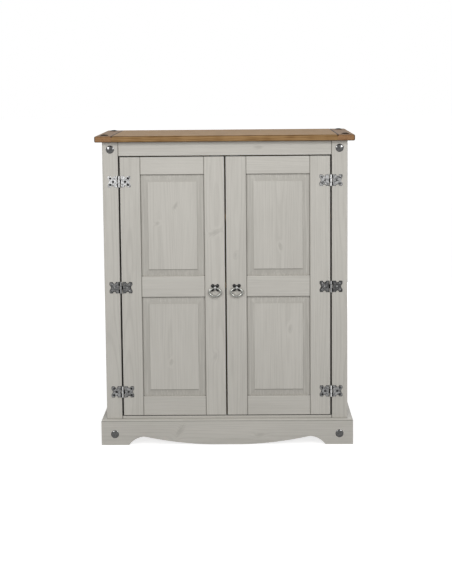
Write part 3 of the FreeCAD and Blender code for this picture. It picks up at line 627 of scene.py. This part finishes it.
# Lines along the lower edge, the upper arris and the front of the upper face: partly wax, partly painted
# shade
edge_wax_and_shade = [
    ("z", top_low, 2.6, "pooled", 0.6, ("z", top_low - 2, top_low + 6)),
    ("z", top_face - 1, 1.8, "pooled", 0.45, ("y", top_front - 2, top_front + 2)),
    ("y", top_front, 2.4, "pooled", 0.5, on_the_top),
]
knots = [knot((-120.0, -60.0), 10, 5, 1.5, 1.0, "z"), knot((210.0, 90.0), 8, 0, 1.6, 1.0, "z"),
         knot((40.0, 150.0), 6, 10, 1.4, 0.9, "z")]
board("top_panel", "x", (-60, 1030), "waxed_pine", knots, joints + edge_wax_and_shade,
      staves=("y", top_front, stave_width), contrast=2.2, figure=0.9)
for side, sign in both_sides:
    name = "top_end_" + side
    # Lines on the ends' arrises: partly wax, partly painted shade
    arrises = [("x", sign * top_side, 2.4, "pooled", 0.5, on_the_top),
               ("x", sign * (top_side - 0.4), 3.0, "pooled", 0.85, ("y", top_front - 2, top_front + 5))]
    board(name, "y", heart_near(sign * 430, 1060, 40), "waxed_ends",
          marks=joints + edge_wax_and_shade + arrises, contrast=1.3)
print("top dressed")

# %% [markdown]
# ## The inside
# Nobody paints the inside: floor, shelves, bearers and back boards stay bare. The
# back is of eight tongued boards, with a dark line where two of them meet.

# %% inside boards
first_back_board, back_board_width = -390.6, 97.65
inside = {
    "back_boards": ("z", ("x", first_back_board, back_board_width)),
    "floor_panel": ("x", ("y", -180, 89)),
    "shelf_lower": ("x", ("y", -164, 90)),
    "shelf_upper": ("x", ("y", -164, 90)),
    "shelf_bearers": ("y", None),
    "top_buttons": ("z", None),
}
seams = [("x", first_back_board + back_board_width * number, 1.1, "hollow", 0.8) for number in range(1, 8)]
for name, (grain, staves) in inside.items():
    marks = seams if name == "back_boards" else []
    board(name, grain, (30, 60), "bare_pine", marks=marks, staves=staves, contrast=1.1)
print("inside dressed:", len(inside))

# %% [markdown]
# ## Old metal
# Hinges, nails and handles are cast and tumbled to look old: dark in the hollows,
# polished where hands and cloths reach. Noise sets dark and polished patches at random,
# and a fine hammer pattern bends the reflections. The painted shades are places that
# are painted dark by plan: painted shade down the sides of the knuckles and round each
# screw.


# %% metal material
def pewter(title, bright, dark, gloss, hammer, painted_shades=(), shade_tone=None, patch=330.0):
    """Old metal. A painted shade is (x, z, from, to): dark from one distance to another from that place, in
    mm.

    A painted shade without z runs up and down as a strip at both sides of x."""
    recipe = Recipe(title)
    place, parts = recipe.place()
    worn = recipe.noise(place, patch, 3.0)
    fine = recipe.noise(place, 1500.0)
    share = recipe.ease(recipe.add(worn, recipe.swing(fine, 0.15)), 0.34, 0.66)
    colour = recipe.blend(share, dark, bright)
    for x, z, start, stop in painted_shades:
        aside = recipe.minus(parts["x"], x * mm)
        if z is None:
            away = recipe.sum("ABSOLUTE", aside)
        else:
            away = recipe.length(aside, recipe.minus(parts["z"], z * mm))
        begins = recipe.ease(away, (start - 0.5) * mm, (start + 0.5) * mm)
        ends = recipe.ease(away, (stop - 0.8) * mm, (stop + 0.8) * mm, 1.0, 0.0)
        colour = recipe.blend(recipe.times(recipe.times(begins, ends), 0.85), colour, shade_tone)
    recipe.feed(recipe.skin.inputs["Base Color"], colour)
    recipe.skin.inputs["Metallic"].default_value = 1.0
    recipe.skin.inputs["Specular Tint"].default_value = seen(120, 120, 118)
    recipe.feed(recipe.skin.inputs["Roughness"], recipe.add(gloss, recipe.swing(worn, 0.10)))
    dents = recipe.node("ShaderNodeTexVoronoi", feature="SMOOTH_F1")
    dents.inputs["Scale"].default_value = 260.0
    recipe.feed(dents.inputs["Vector"], place)
    recipe.bump(recipe.add(dents.outputs["Distance"], recipe.times(fine, 0.2)), 0.8 * mm, hammer)
    return recipe.material


print("old metal: patches, stains and a hammer pattern")

# %% [markdown]
# ## The metals
# Most metals are given as one grey, and the worn and the dark shade are made from it.
# The nails in the plinth are a little smoother than the ones in the posts, and those
# in the top are painted much darker, a painted reflection of the dark that they mirror
# when seen across the top.


# %% metals
def shades(grey, warm=0):
    """A bright and a dark shade of one grey. warm adds a little red and takes some blue."""
    return [seen(level + warm, level, level - warm) for level in (min(grey * 1.12, 238), grey * 0.84)]


# Each metal has its bright and dark shade, its roughness and the depth of the hammer pattern
metals = {
    "pin": pewter("hinge_pin_metal", *shades(120), 0.2, 0.03),
    "nail": pewter("nail_metal", *shades(87), 0.21, 0.03),
    "low_nail": pewter("low_nail_metal", *shades(84), 0.17, 0.04),
    # Painted reflection: the top nails are painted much darker than the other nails
    "top_nail_painted_dark": pewter("top_nail_painted_dark_metal", *shades(50, 3), 0.28, 0.06),
    # Painted shade for the creases beside the knuckles
    "crevice": pewter("crevice_metal", *shades(30), 0.6, 0.1),
    "plate": pewter("plate_metal", *shades(52), 0.36, 0.15),
    "hub": pewter("hub_metal", *shades(140), 0.24, 0.05),
    "ring": pewter("ring_metal", seen(148, 148, 144), seen(124, 125, 121), 0.29, 0.01),
    "plain": pewter("plain_steel", *shades(168), 0.35, 0.05),
}
for name in ("handle_nut_left", "handle_nut_right", "catch_plate_left", "catch_plate_right"):
    dress(name, metals["plain"])
print("metals:", len(metals))

# %% [markdown]
# ## The catches
# A magnet in a brown moulded case holds each door shut, behind the top rail. It is
# seen only with the doors open, so one plain plastic with a slight cloud is enough.

# %% catch cases
case = Recipe("catch_case")
case.skin.inputs["Roughness"].default_value = 0.55
case_place, _ = case.place()
case_colour = case.blend(case.noise(case_place, 60.0), seen(70, 52, 38), seen(92, 68, 48))
case.feed(case.skin.inputs["Base Color"], case_colour)
case.bump(case.noise(case_place, 2200.0), 0.2 * mm, 0.2)
dress("catch_magnets", case.material)
print("catches dressed")

# %% [markdown]
# ## A metal piece
# Each metal piece is one mesh that is built up from several shapes, with a material
# slot for each finish on it. At the end it takes the place of a node of the CAD model
# and rides on the same body, so it moves with its door or ring. All of them are kept
# in one collection as well, because two of the lamps shine on metal alone.

# %% casting
metalwork = bpy.data.collections.new("metalwork")


class Casting:
    """One metal piece that is built up from turned, bent and sawn shapes."""

    def __init__(self, title, *finishes):
        self.title = title
        self.mesh = bmesh.new()
        self.finishes = finishes

    def spot(self, place, x, y, z):
        return self.mesh.verts.new(place @ (Vector((x, y, z)) * mm))

    def face(self, corners, finish):
        self.mesh.faces.new(corners).material_index = finish

    def fill(self, edges, finish):
        """Closes a flat outline, and leaves open what a second outline inside it holds."""
        for face in bmesh.ops.triangle_fill(self.mesh, edges=edges, use_beauty=True)["geom"]:
            if isinstance(face, bmesh.types.BMFace):
                face.material_index = finish

    def finish(self, body, *replaced):
        """Makes the shapes one object that rides on a body in place of nodes of the CAD model."""
        bmesh.ops.recalc_face_normals(self.mesh, faces=self.mesh.faces)
        for face in self.mesh.faces:
            face.smooth = True
        for edge in self.mesh.edges:
            edge.smooth = len(edge.link_faces) == 2 and edge.calc_face_angle(0.0) < math.radians(40)
        data = bpy.data.meshes.new(self.title)
        self.mesh.to_mesh(data)
        self.mesh.free()
        thing = bpy.data.objects.new(self.title, data)
        bpy.context.collection.objects.link(thing)
        metalwork.objects.link(thing)
        for word in self.finishes:
            data.materials.append(metals[word])
        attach(thing, body)
        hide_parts(*replaced)
        print(self.title, "faces", len(data.polygons))


print("collection", metalwork.name)

# %% [markdown]
# ## The lathe
# A lathe turns an outline about an axis, for nails, screws, pins and knuckles. The
# screw modifier could do it too, but points that are set one by one keep each finish
# on its own faces, and the mesh closes in a single point on the axis.


# %% lathe
def lathe(casting, outline, place, finish=0, sides=32):
    """Turns (radius, height) points in mm about Z. A radius of 0 closes the shape."""
    rings = []
    for radius, height in outline:
        turns = [2 * math.pi * step / sides for step in range(sides if radius > 0 else 1)]
        rings.append([casting.spot(place, radius * math.cos(turn), radius * math.sin(turn), height)
                      for turn in turns])
    for low, high in zip(rings, rings[1:]):
        for step in range(sides):
            corners = [low[step % len(low)], low[(step + 1) % len(low)],
                       high[(step + 1) % len(high)], high[step % len(high)]]
            corners = [corner for number, corner in enumerate(corners) if corner not in corners[:number]]
            if len(corners) > 2:
                casting.face(corners, finish)


print("the lathe turns about Z")

# %% [markdown]
# ## Bent wire
# The handles' eyes and rings are wire that is bent into a closed loop. A plain torus
# would do for the eye, but a forged ring is an oval whose quarters are drawn in and
# whose sides are thicker, so the loop's middle line, its direction and its thickness
# are each worked out step by step. The third wave, with three turns to one, is what
# draws the quarters in and keeps the line smooth.


# %% bent wire
def bend(casting, radius, wire, place, finish=0, sides=96, wire_sides=24,
         width=1.0, flat=1.0, swell=0.0, kite=0.0):
    """A closed ring of wire about Z. width makes the wire broader along Z than it is thick.

    flat makes the ring lower along Y than it is wide, swell makes its two ends in X
    thicker, and kite draws the four quarters in, so that an oval turns towards a kite."""
    loops = []
    for step in range(sides):
        turn = 2 * math.pi * step / sides
        middle = Vector((math.cos(turn) + kite * math.cos(3 * turn),
                         (math.sin(turn) - kite * math.sin(3 * turn)) * flat, 0)) * (radius / (1 + kite))
        outwards = Vector(((math.cos(turn) - 3 * kite * math.cos(3 * turn)) * flat,
                           math.sin(turn) + 3 * kite * math.sin(3 * turn), 0)).normalized()
        thick = wire * (1 + swell * math.cos(turn) ** 2)
        loop = []
        for part in range(wire_sides):
            twist = 2 * math.pi * part / wire_sides
            rise = Vector((0, 0, thick * width * math.sin(twist)))
            loop.append(casting.spot(place, *(middle + outwards * thick * math.cos(twist) + rise)))
        loops.append(loop)
    for step in range(sides):
        after = loops[(step + 1) % sides]
        for part in range(wire_sides):
            other = (part + 1) % wire_sides
            casting.face((loops[step][part], after[part], after[other], loops[step][other]), finish)


print("a ring has 96 steps of 24 points")

# %% [markdown]
# ## The saw
# A saw cuts a plate to an outline and then its front edge is eased, for hinge leaves
# and handle plates. The outline is moved towards its inside a little more at each
# level, which rounds the edge like a file. The bevel modifier could do it, but here
# the edge can have a finish of its own, for the painted shade on the hinges' rounded
# edges.


# %% saw
def moved_in(loop, inset):
    """The outline moved towards its inside by an inset, corner by corner."""
    if not inset:
        return list(loop)
    area = sum(a[0] * b[1] - b[0] * a[1] for a, b in zip(loop, loop[1:] + loop[:1])) / 2
    side = 1 if area > 0 else -1
    moved = []
    for before, here, after in zip(loop[-1:] + loop[:-1], loop, loop[1:] + loop[:1]):
        way = Vector((after[0] - before[0], after[1] - before[1]))
        way.normalize()
        moved.append((here[0] - way.y * side * inset, here[1] + way.x * side * inset))
    return moved


def saw(casting, outline, thickness, ease, place, finish=0, rim=None, band=0.0):
    """Cuts a plate in the plane Z = 0 to an outline in mm, and rounds its front edge.

    The edge has the finish rim, and so has a band beside it on the front."""
    rim = finish if rim is None else rim
    levels = [(0.0, 0.0), (thickness - ease, 0.0)]
    for turn in (math.radians(30), math.radians(60), math.radians(90)):
        levels.append((thickness - ease + ease * math.sin(turn), ease * (1 - math.cos(turn))))
    if band:
        levels.append((thickness, ease + band))
    rows = []
    for height, inset in levels:
        rows.append([casting.spot(place, x, y, height) for x, y in moved_in(outline, inset)])
    for low, high in zip(rows, rows[1:]):
        for step in range(len(low)):
            after = (step + 1) % len(low)
            casting.face((low[step], low[after], high[after], high[step]), rim)
    for loop in (rows[0], rows[-1]):
        edges = [casting.mesh.edges.get(pair) for pair in zip(loop, loop[1:] + loop[:1])]
        casting.fill(edges, finish)


print("the saw cuts in the plane Z = 0")

# %% [markdown]
# ## Outlines and places
# One helper draws an arc for the outlines. Two give a place in mm: one with its Z
# upright, and one for pieces on the front, in which Z points out of the cupboard. So
# a nail is drawn once and stands as well in the top as in a post.


# %% outlines and places
def arc(centre, radius, start, stop, steps):
    """Points on a circle, from one angle in degrees to another."""
    points = []
    for step in range(steps + 1):
        turn = math.radians(start + (stop - start) * step / steps)
        points.append((centre[0] + radius * math.cos(turn), centre[1] + radius * math.sin(turn)))
    return points


def upright(x, y, z):
    """A place in mm whose Z points up."""
    return Matrix.Translation(Vector((x, y, z)) * mm)


def on_front(x, y, z):
    """A place in mm whose Z points out of the front, to -Y."""
    return upright(x, y, z) @ Matrix(((1, 0, 0, 0), (0, 0, -1, 0), (0, 1, 0, 0), (0, 0, 0, 1)))


print("a quarter arc:", len(arc((0, 0), 10, 0, 90, 6)), "points")

# %% [markdown]
# ## Domed nails
# The big nails are drawn from one curve: a thin rounded rim that presses into the
# wood, and a shallow dome. Four stand in the top, one in each front post and two in
# the plinth. Their highlights show the curve at once, so they are turned smooth.

# %% domed nails
dome_radius = 14.4
front_dome, top_dome = 4.6, 3.9
plinth_front = -210
post_nail_x, post_nail_z = 407.5, 1071.5
plinth_nail_x, plinth_nail_z = 406, 40
top_nail_x, top_nail_y = 430, 161
nail_sides = 40


def dome_curve(height):
    """A thin rim, then flanks that turn over into a nearly flat middle."""
    rim_height = 0.7
    shoulder = dome_radius - 0.1
    curve = [(0.0, 0.0), (dome_radius - 0.5, 0.0), (dome_radius, 0.35), (shoulder, rim_height)]
    for step in range(1, 16):
        share = math.cos(math.pi / 2 * step / 16)
        curve.append((shoulder * share, rim_height + (height - rim_height) * (1 - share ** 2) ** 0.8))
    return curve + [(0.0, height)]


nails = Casting("dome_nail_heads", "nail", "top_nail_painted_dark", "low_nail")
for sign in (-1, 1):
    on_post = on_front(sign * post_nail_x, post_front, post_nail_z)
    on_plinth = on_front(sign * plinth_nail_x, plinth_front, plinth_nail_z)
    lathe(nails, dome_curve(front_dome), on_post, 0, nail_sides)
    lathe(nails, dome_curve(front_dome), on_plinth, 2, nail_sides)
    for y in (-top_nail_y, top_nail_y):
        lathe(nails, dome_curve(top_dome), upright(sign * top_nail_x, y, top_face), 1, nail_sides)
nails.finish("carcass", "dome_nails")

# %% [markdown]
# ## Butterfly hinges
# Each leaf is a cast plate with two round bites, two lobes and a notch at its tip.
# One leaf lies on the post and holds the two outer knuckles, the other lies on the
# door and holds the middle one. The pin has a small crown at both ends.
#
# Such castings are flat and mirror different parts of a room, so on the real cupboard
# one hinge looks nearly white and the next one nearly black. A single metal would
# show six equal hinges. So each hinge gets greys of its own, with those reflections
# painted in: bright knuckles as a painted highlight, darker edges, and screws that are
# painted dark on some hinges and pale on others.

# %% hinge metals
hinge_x, hinge_y = 376.9, -194.8
hinge_heights = {"low": 192.0, "mid": 574.5, "high": 957.0}
screw_places = ((31.5, -11.5), (31.5, 11.5), (21.5, 0.0))
hinge_parts = ("post_leaf", "door_leaf", "barrel", "screw", "rim", "recess")
# The near black of the screws' flat and cross, a painted shade
recess_grey = 24
# The painted greys, reflections included, are in the order of hinge_parts, without the last part, the
# screws' dark flat and cross
hinge_reflection_greys = {
    ("left", "high"): (150, 146, 208, 30, 146),
    ("left", "mid"): (94, 84, 134, 160, 40),
    ("left", "low"): (114, 108, 162, 50, 62),
    ("right", "high"): (112, 128, 214, 124, 92),
    ("right", "mid"): (72, 78, 152, 170, 36),
    ("right", "low"): (112, 106, 184, 62, 62),
}
for (side, level), reflection_greys in hinge_reflection_greys.items():
    sign = sign_of[side]
    axis_x = sign * hinge_x
    height = hinge_heights[level]
    # Painted shade down both sides of the knuckles, on the knuckles' flanks and on the leaves
    beside_barrel = (axis_x, None, 2.5, 6.6)
    for part, grey in zip(hinge_parts, (*reflection_greys, recess_grey)):
        painted_shades = []
        if part in ("post_leaf", "door_leaf", "barrel"):
            painted_shades.append(beside_barrel)
        if part in ("post_leaf", "door_leaf"):
            way = sign if part == "post_leaf" else -sign
            # Painted shade round each screw
            painted_shades += [(axis_x + way * x, height + up, 0.0, 4.2) for x, up in screw_places]
        gloss, hammer, spread = (0.22, 0.02, 1.1) if part == "barrel" else (0.42, 0.14, 1.28)
        bright = seen(*[min(grey * spread, 238)] * 3)
        dark = seen(*[grey / spread] * 3)
        word = "%s_%s_%s" % (part, side, level)
        metals[word] = pewter(word, bright, dark, gloss, hammer, painted_shades, seen(24, 24, 22), 210.0)
print("metals:", len(metals))

# %% [markdown]
# ## Parts of a hinge
# The leaf's outline is drawn once, for its lower half, and mirrored. The sizes follow
# hinges of this kind: 41 mm high, with three knuckles of the same length. A little
# room is left between the knuckles, as there has to be for them to turn.

# %% leaf and knuckle
half_hinge = 20.5
knuckle_radius = 3.8
leaf_thickness = 1.6


def leaf_outline(sign):
    """Half of a butterfly, seen from the front, with its straight side at the knuckles."""
    lower = [(6.4, -half_hinge)] + arc((23.6, -half_hinge), 5.6, 180, 0, 12)
    lower += arc((36.6, -half_hinge + 4.4), 4.4, -90, 0, 6)
    lower += arc((36.6, -half_hinge + 9.0), 4.4, 0, 62, 5)
    notch = arc((42.0, 0.0), 6.2, 226, 134, 8)
    upper = [(x, -z) for x, z in reversed(lower)]
    return [(sign * x, z) for x, z in lower + notch + upper]


def knuckle_levels(number):
    """The lower and the upper end of one knuckle of three, from the hinge's middle."""
    pitch = 2 * half_hinge / 3
    low = -half_hinge + number * pitch
    return low + 0.2, low + pitch - 0.2


def knuckle(low, high):
    ease = 0.5
    return [(0.0, low), (knuckle_radius - ease, low), (knuckle_radius, low + ease),
            (knuckle_radius, high - ease), (knuckle_radius - ease, high), (0.0, high)]


print("leaf outline:", len(leaf_outline(1)), "points")

# %% [markdown]
# ## Screw heads
# A pan head is turned on the lathe up to its flat top. The cross is left out when the
# flat is filled, and then gets walls and a floor. Flat and cross have a darker finish
# than the rim: painted shade in the cross and a painted dark middle. A cross that is
# only painted on would lose its shadow from the side.


# %% screw head
def screw_head(casting, place, head, slot):
    """A pan head with a cross cut into it."""
    flat_radius, flat_height, slot_depth = 2.0, 1.2, 0.7
    outline = [(3.1, 0.0), (3.1, 0.45), (2.85, 0.9), (2.4, 1.15), (flat_radius, flat_height)]
    lathe(casting, outline, place, head, 20)
    cross = []
    for quarter in range(4):
        turn = math.radians(90 * quarter + 20)
        for x, y in ((1.7, -0.5), (1.7, 0.5), (0.5, 0.5)):
            cross.append((x * math.cos(turn) - y * math.sin(turn), x * math.sin(turn) + y * math.cos(turn)))
    rim = arc((0, 0), flat_radius, 0, 342, 19)
    rows = [[casting.spot(place, x, y, flat_height) for x, y in loop] for loop in (rim, cross)]
    edges = []
    for row in rows:
        edges += [casting.mesh.edges.new(pair) for pair in zip(row, row[1:] + row[:1])]
    casting.fill(edges, slot)
    floor = [casting.spot(place, x, y, flat_height - slot_depth) for x, y in cross]
    for step in range(len(cross)):
        after = (step + 1) % len(cross)
        casting.face((rows[1][step], rows[1][after], floor[after], floor[step]), slot)
    casting.face(floor, slot)


print("a screw head has 20 sides and a cross of 12 corners")

# %% [markdown]
# ## Slots for the hinges' metals
# Hinges that ride on the same body share one mesh, so it has a material slot for each
# part, side and height. One helper lists the metals in the order of their slots, and
# another finds the slots again.


# %% slots of the hinges
def finish_words(parts, sides):
    """The metals of some parts of the hinges, in the order of their material slots."""
    return ["%s_%s_%s" % (part, side, level) for part in parts for side in sides for level in hinge_heights]


def slots_of(casting, parts, side, level):
    """The numbers of the material slots of some parts of one hinge."""
    return [casting.finishes.index("%s_%s_%s" % (part, side, level)) for part in parts]


print("a screw's metals:", finish_words(("screw", "recess"), ("left",)))

# %% [markdown]
# ## One half of a hinge
# A leaf lies on its seat, with its knuckles about the pin and a screw in each of its
# three holes. Between the leaf and a knuckle goes a narrow dark web, painted shade in
# the crease beside the knuckle.


# %% half of a hinge
def hinge_half(leaves, screws, leaf_word, side, level, way, knuckles):
    """A leaf that reaches to +X where way is 1 and to -X where it is -1, with its knuckles and screws."""
    axis_x = sign_of[side] * hinge_x
    z = hinge_heights[level]
    seat = on_front(axis_x, post_front, z)
    leaf, barrel, rim = slots_of(leaves, (leaf_word, "barrel", "rim"), side, level)
    head, slot = slots_of(screws, ("screw", "recess"), side, level)
    crevice = leaves.finishes.index("crevice")
    # The leaf's rounded edge takes the rim metal, painted darker than the leaf as shade on most hinges
    saw(leaves, leaf_outline(way), leaf_thickness, 0.9, seat, leaf, rim, 0.9)
    for number in knuckles:
        low, high = knuckle_levels(number)
        lathe(leaves, knuckle(low, high), upright(axis_x, hinge_y, z), barrel, 28)
        # The web is painted shade in the crease between leaf and knuckle
        web = [(0.0, low), (way * 6.9, low), (way * 6.9, high), (0.0, high)]
        saw(leaves, web, 1.4, 0.3, seat, crevice)
    for x, up in screw_places:
        place = on_front(axis_x + way * x, post_front - leaf_thickness, z + up)
        screw_head(screws, place, head, slot)


print("a hinge has", len(screw_places), "screws in each leaf")

# %% [markdown]
# ## Putting the hinges together
# The pieces are sorted by what they turn with: post leaves, pins and their screws
# stay on the carcass, door leaves and their screws ride on their door. The post's leaf
# has the outer two knuckles and the door's leaf the middle one. A pin is a plain shank
# with a turned crown at each end.

# %% hinges
crown = ((0.0, 0.0), (3.1, 0.0), (3.1, 0.5), (2.6, 1.2), (1.5, 1.7), (0.0, 1.8))
pin_radius = 1.9
shank = [(0.0, -half_hinge), (pin_radius, -half_hinge), (pin_radius, half_hinge), (0.0, half_hinge)]
leaf_finishes = finish_words(("post_leaf", "barrel", "rim"), ("left", "right"))
post_leaves = Casting("butterfly_post_leaves", *leaf_finishes, "crevice")
pins = Casting("butterfly_pins", "pin")
post_screws = Casting("post_screw_heads", *finish_words(("screw", "recess"), ("left", "right")))
for side, sign in both_sides:
    leaf_finishes = finish_words(("door_leaf", "barrel", "rim"), (side,))
    door_leaves = Casting("butterfly_door_leaves_" + side, *leaf_finishes, "crevice")
    door_screws = Casting("door_screw_heads_" + side, *finish_words(("screw", "recess"), (side,)))
    for level, z in hinge_heights.items():
        hinge_half(post_leaves, post_screws, "post_leaf", side, level, sign, (0, 2))
        hinge_half(door_leaves, door_screws, "door_leaf", side, level, -sign, (1,))
        axis = upright(sign * hinge_x, hinge_y, z)
        for end in (-1, 1):
            lathe(pins, [(radius, end * (half_hinge + rise)) for radius, rise in crown], axis, 0, 24)
        lathe(pins, shank, axis, 0, 24)
    door_leaves.finish("door_" + side, "door_hinge_leaves_" + side)
    door_screws.finish("door_" + side, "door_hinge_screws_" + side)
post_leaves.finish("carcass", "hinge_post_leaves")
pins.finish("carcass", "hinge_pins")
post_screws.finish("carcass", "hinge_post_screws")

# %% [markdown]
# ## Ring handles
# A four-lobed plate lies on the meeting stile. An eye stands out of its middle, and
# a heavy ring hangs in the eye and lifts like a door knocker. The ring is wider than
# it is high and thicker at its sides, with its quarters drawn in a little. The
# plate's outline is the reach of four circles and a hub, taken all round.

# %% handle plate
handle_x, handle_z = 38.7, 573.0
lobe_places = ((8.6, 6.0), (-8.6, 6.0), (-9.4, -8.2), (9.4, -8.2))
lobe_radius, hub_radius = 6.3, 8.2
boss_foot = 1.7
boss = [(0.0, boss_foot), (3.6, boss_foot), (3.4, 2.1), (2.6, 2.5), (1.4, 2.7), (0.0, 2.75)]


def lobed_outline():
    """The outline of four lobes round a hub, as far as a line from the middle reaches."""
    points = []
    for step in range(120):
        turn = 2 * math.pi * step / 120
        way = Vector((math.cos(turn), math.sin(turn)))
        reach = hub_radius
        for x, y in lobe_places:
            along = way.x * x + way.y * y
            aside = abs(way.x * y - way.y * x)
            if along > 0 and aside < lobe_radius:
                reach = max(reach, along + math.sqrt(lobe_radius ** 2 - aside ** 2))
        points.append((way.x * reach, way.y * reach))
    return points


for side, sign in both_sides:
    plate = Casting("handle_plate_" + side + "_cast", "plate")
    saw(plate, lobed_outline(), 1.8, 0.7, on_front(sign * handle_x, post_front, handle_z))
    for lobe_x, lobe_z in lobe_places:
        lathe(plate, boss, on_front(sign * handle_x + lobe_x, post_front, handle_z + lobe_z), 0, 20)
    plate.finish("door_" + side, "handle_plate_" + side)

# %% [markdown]
# ## Eye and ring
# The eye's hole has to be wide enough for the ring's wire at every angle of the lift,
# so both are made about the same point, which is also where the joint turns. The two
# are separate pieces on separate bodies: the eye stays on the door when the ring lifts.

# %% eye and ring
eye_y = -199.6
eye_radius, eye_wire = 5.9, 1.9
neck = [(0.0, 1.6), (4.4, 1.6), (4.2, 2.3), (2.9, 2.9), (2.4, 4.2), (0.0, 4.4)]
ring_radius, ring_flat, ring_wire = 20.8, 0.76, 2.8
quarter_turn = math.radians(90)
for side, sign in both_sides:
    eye = Casting("handle_eye_" + side + "_turned", "ring", "hub")
    eye_place = upright(sign * handle_x, eye_y, handle_z) @ Matrix.Rotation(quarter_turn, 4, "Y")
    bend(eye, eye_radius, eye_wire, eye_place, 1, sides=40, wire_sides=20, width=2.0)
    lathe(eye, neck, on_front(sign * handle_x, post_front, handle_z), 1, 28)
    eye.finish("door_" + side, "handle_eye_" + side)
    ring = Casting("handle_ring_" + side + "_forged", "ring")
    ring_middle = upright(sign * handle_x, eye_y, handle_z - ring_radius * ring_flat)
    ring_place = ring_middle @ Matrix.Rotation(quarter_turn, 4, "X")
    bend(ring, ring_radius, ring_wire, ring_place, flat=ring_flat, swell=0.2, kite=0.035)
    ring.finish("ring_" + side, "handle_ring_" + side)

# %% [markdown]
# ## Lamps
# Two large soft boxes stand in front, one at each side, and give the doors their even
# light. A small lamp above them throws the narrow shadow under the top, and a box
# behind keeps the back from going flat. Two more lamps stand high at the sides and
# shine on the metal alone, through light linking: they make the paired glints on
# nails and rings, which would be white patches on the waxed top.

# %% lamps
aim = Vector((0, -0.2, 0.75))
# Each lamp has its place in metres, the side of its square in metres and its power in watts
lamps = {
    "soft_box_left": ((-1.5, -2.4, 1.55), 0.95, 15.5),
    "soft_box_right": ((1.5, -2.4, 1.55), 0.95, 13.5),
    "lamp_above": ((0.1, -1.7, 1.95), 0.28, 9.0),
    "soft_box_behind": ((0.5, 3.2, 0.45), 1.0, 20.0),
    "glint_left": ((-1.95, -2.4, 2.15), 0.65, 44.0),
    "glint_right": ((1.95, -2.4, 2.15), 0.65, 44.0),
}
for name, (place, size, power) in lamps.items():
    lamp_data = bpy.data.lights.new(name, "AREA")
    lamp_data.shape = "RECTANGLE"
    lamp_data.size = size
    lamp_data.size_y = size
    lamp_data.energy = power
    lamp = bpy.data.objects.new(name, lamp_data)
    bpy.context.collection.objects.link(lamp)
    lamp.location = place
    lamp.rotation_euler = (aim - lamp.location).to_track_quat("-Z", "Y").to_euler()
    lamp.visible_glossy = name != "lamp_above"
    if name.startswith("glint"):
        lamp.light_linking.receiver_collection = metalwork
print("lamps:", len(lamps))

# %% [markdown]
# ## The sky
# A pale sky from all round fills the shadows. It has two strengths: the camera, metal
# and glass see it white, and everything else is lit by a weaker one. So the picture
# gets a white background. The Standard view keeps it white, and keeps the colours of
# the wood as they are written.


# %% sky
def seen_directly(tree, rays):
    """1 for what the camera sees, straight on or in metal and glass."""
    value = rays.outputs["Is Camera Ray"]
    for other in ("Is Glossy Ray", "Is Transmission Ray"):
        larger = tree.nodes.new("ShaderNodeMath")
        larger.operation = "MAXIMUM"
        tree.links.new(value, larger.inputs[0])
        tree.links.new(rays.outputs[other], larger.inputs[1])
        value = larger.outputs[0]
    return value


sky = bpy.data.worlds.new("studio_sky")
bpy.context.scene.world = sky
sky.use_nodes = True
sky_nodes = sky.node_tree.nodes
sky_links = sky.node_tree.links
sky_nodes.clear()
sky_rays = sky_nodes.new("ShaderNodeLightPath")
sky_end = sky_nodes.new("ShaderNodeOutputWorld")
sky_mix = sky_nodes.new("ShaderNodeMixShader")
sky_links.new(seen_directly(sky.node_tree, sky_rays), sky_mix.inputs[0])
sky_links.new(sky_mix.outputs[0], sky_end.inputs["Surface"])
# The sky that lights the cupboard, and the sky that the camera sees
sky_tones = (((1.0, 0.995, 0.985, 1.0), 0.43), ((1.0, 1.0, 1.0, 1.0), 1.0))
for socket, (tone, strength) in zip((sky_mix.inputs[1], sky_mix.inputs[2]), sky_tones):
    sky_part = sky_nodes.new("ShaderNodeBackground")
    sky_part.inputs["Color"].default_value = tone
    sky_part.inputs["Strength"].default_value = strength
    sky_links.new(sky_part.outputs[0], socket)
bpy.context.scene.view_settings.view_transform = "Standard"
print("sky strengths", [strength for _, strength in sky_tones])

# %% [markdown]
# ## The floor
# The floor is a wide sheet of pale paper. Its own grey is low, so it throws little
# light back under the plinth, and a glow that only the camera, metal and glass see
# brings it up to white. The cupboard's shadow still falls on it.

# %% floor
floor_reach = 30.0
floor_corners = [(-floor_reach, -floor_reach, 0), (floor_reach, -floor_reach, 0),
                 (floor_reach, floor_reach, 0), (-floor_reach, floor_reach, 0)]
floor_mesh = bpy.data.meshes.new("studio_floor")
floor_mesh.from_pydata(floor_corners, [], [(0, 1, 2, 3)])
floor = bpy.data.objects.new("studio_floor", floor_mesh)
bpy.context.collection.objects.link(floor)
floor.location.z = -0.2 * mm
paper = Recipe("floor_paper")
paper.skin.inputs["Base Color"].default_value = (0.52, 0.52, 0.52, 1.0)
paper.skin.inputs["Roughness"].default_value = 0.9
paper.skin.inputs["Specular IOR Level"].default_value = 0.1
paper.skin.inputs["Emission Color"].default_value = (1.0, 1.0, 1.0, 1.0)
shown = seen_directly(paper.tree, paper.node("ShaderNodeLightPath"))
paper.feed(paper.skin.inputs["Emission Strength"], paper.times(shown, 0.78))
floor_mesh.materials.append(paper.material)
floor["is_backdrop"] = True
print("floor", 2 * floor_reach, "m wide")

# %% [markdown]
# ## Sizes and the end
# The dressed cupboard has to keep the size of the CAD model, so both boxes are kept
# and printed side by side, in metres.

# %% write the sizes and finish
visual_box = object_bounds()
boxes = {"cad": [list(corner) for corner in cad_box], "visual": [list(corner) for corner in visual_box]}
for word, corners in boxes.items():
    print(word, [[round(part, 4) for part in corner] for corner in corners])
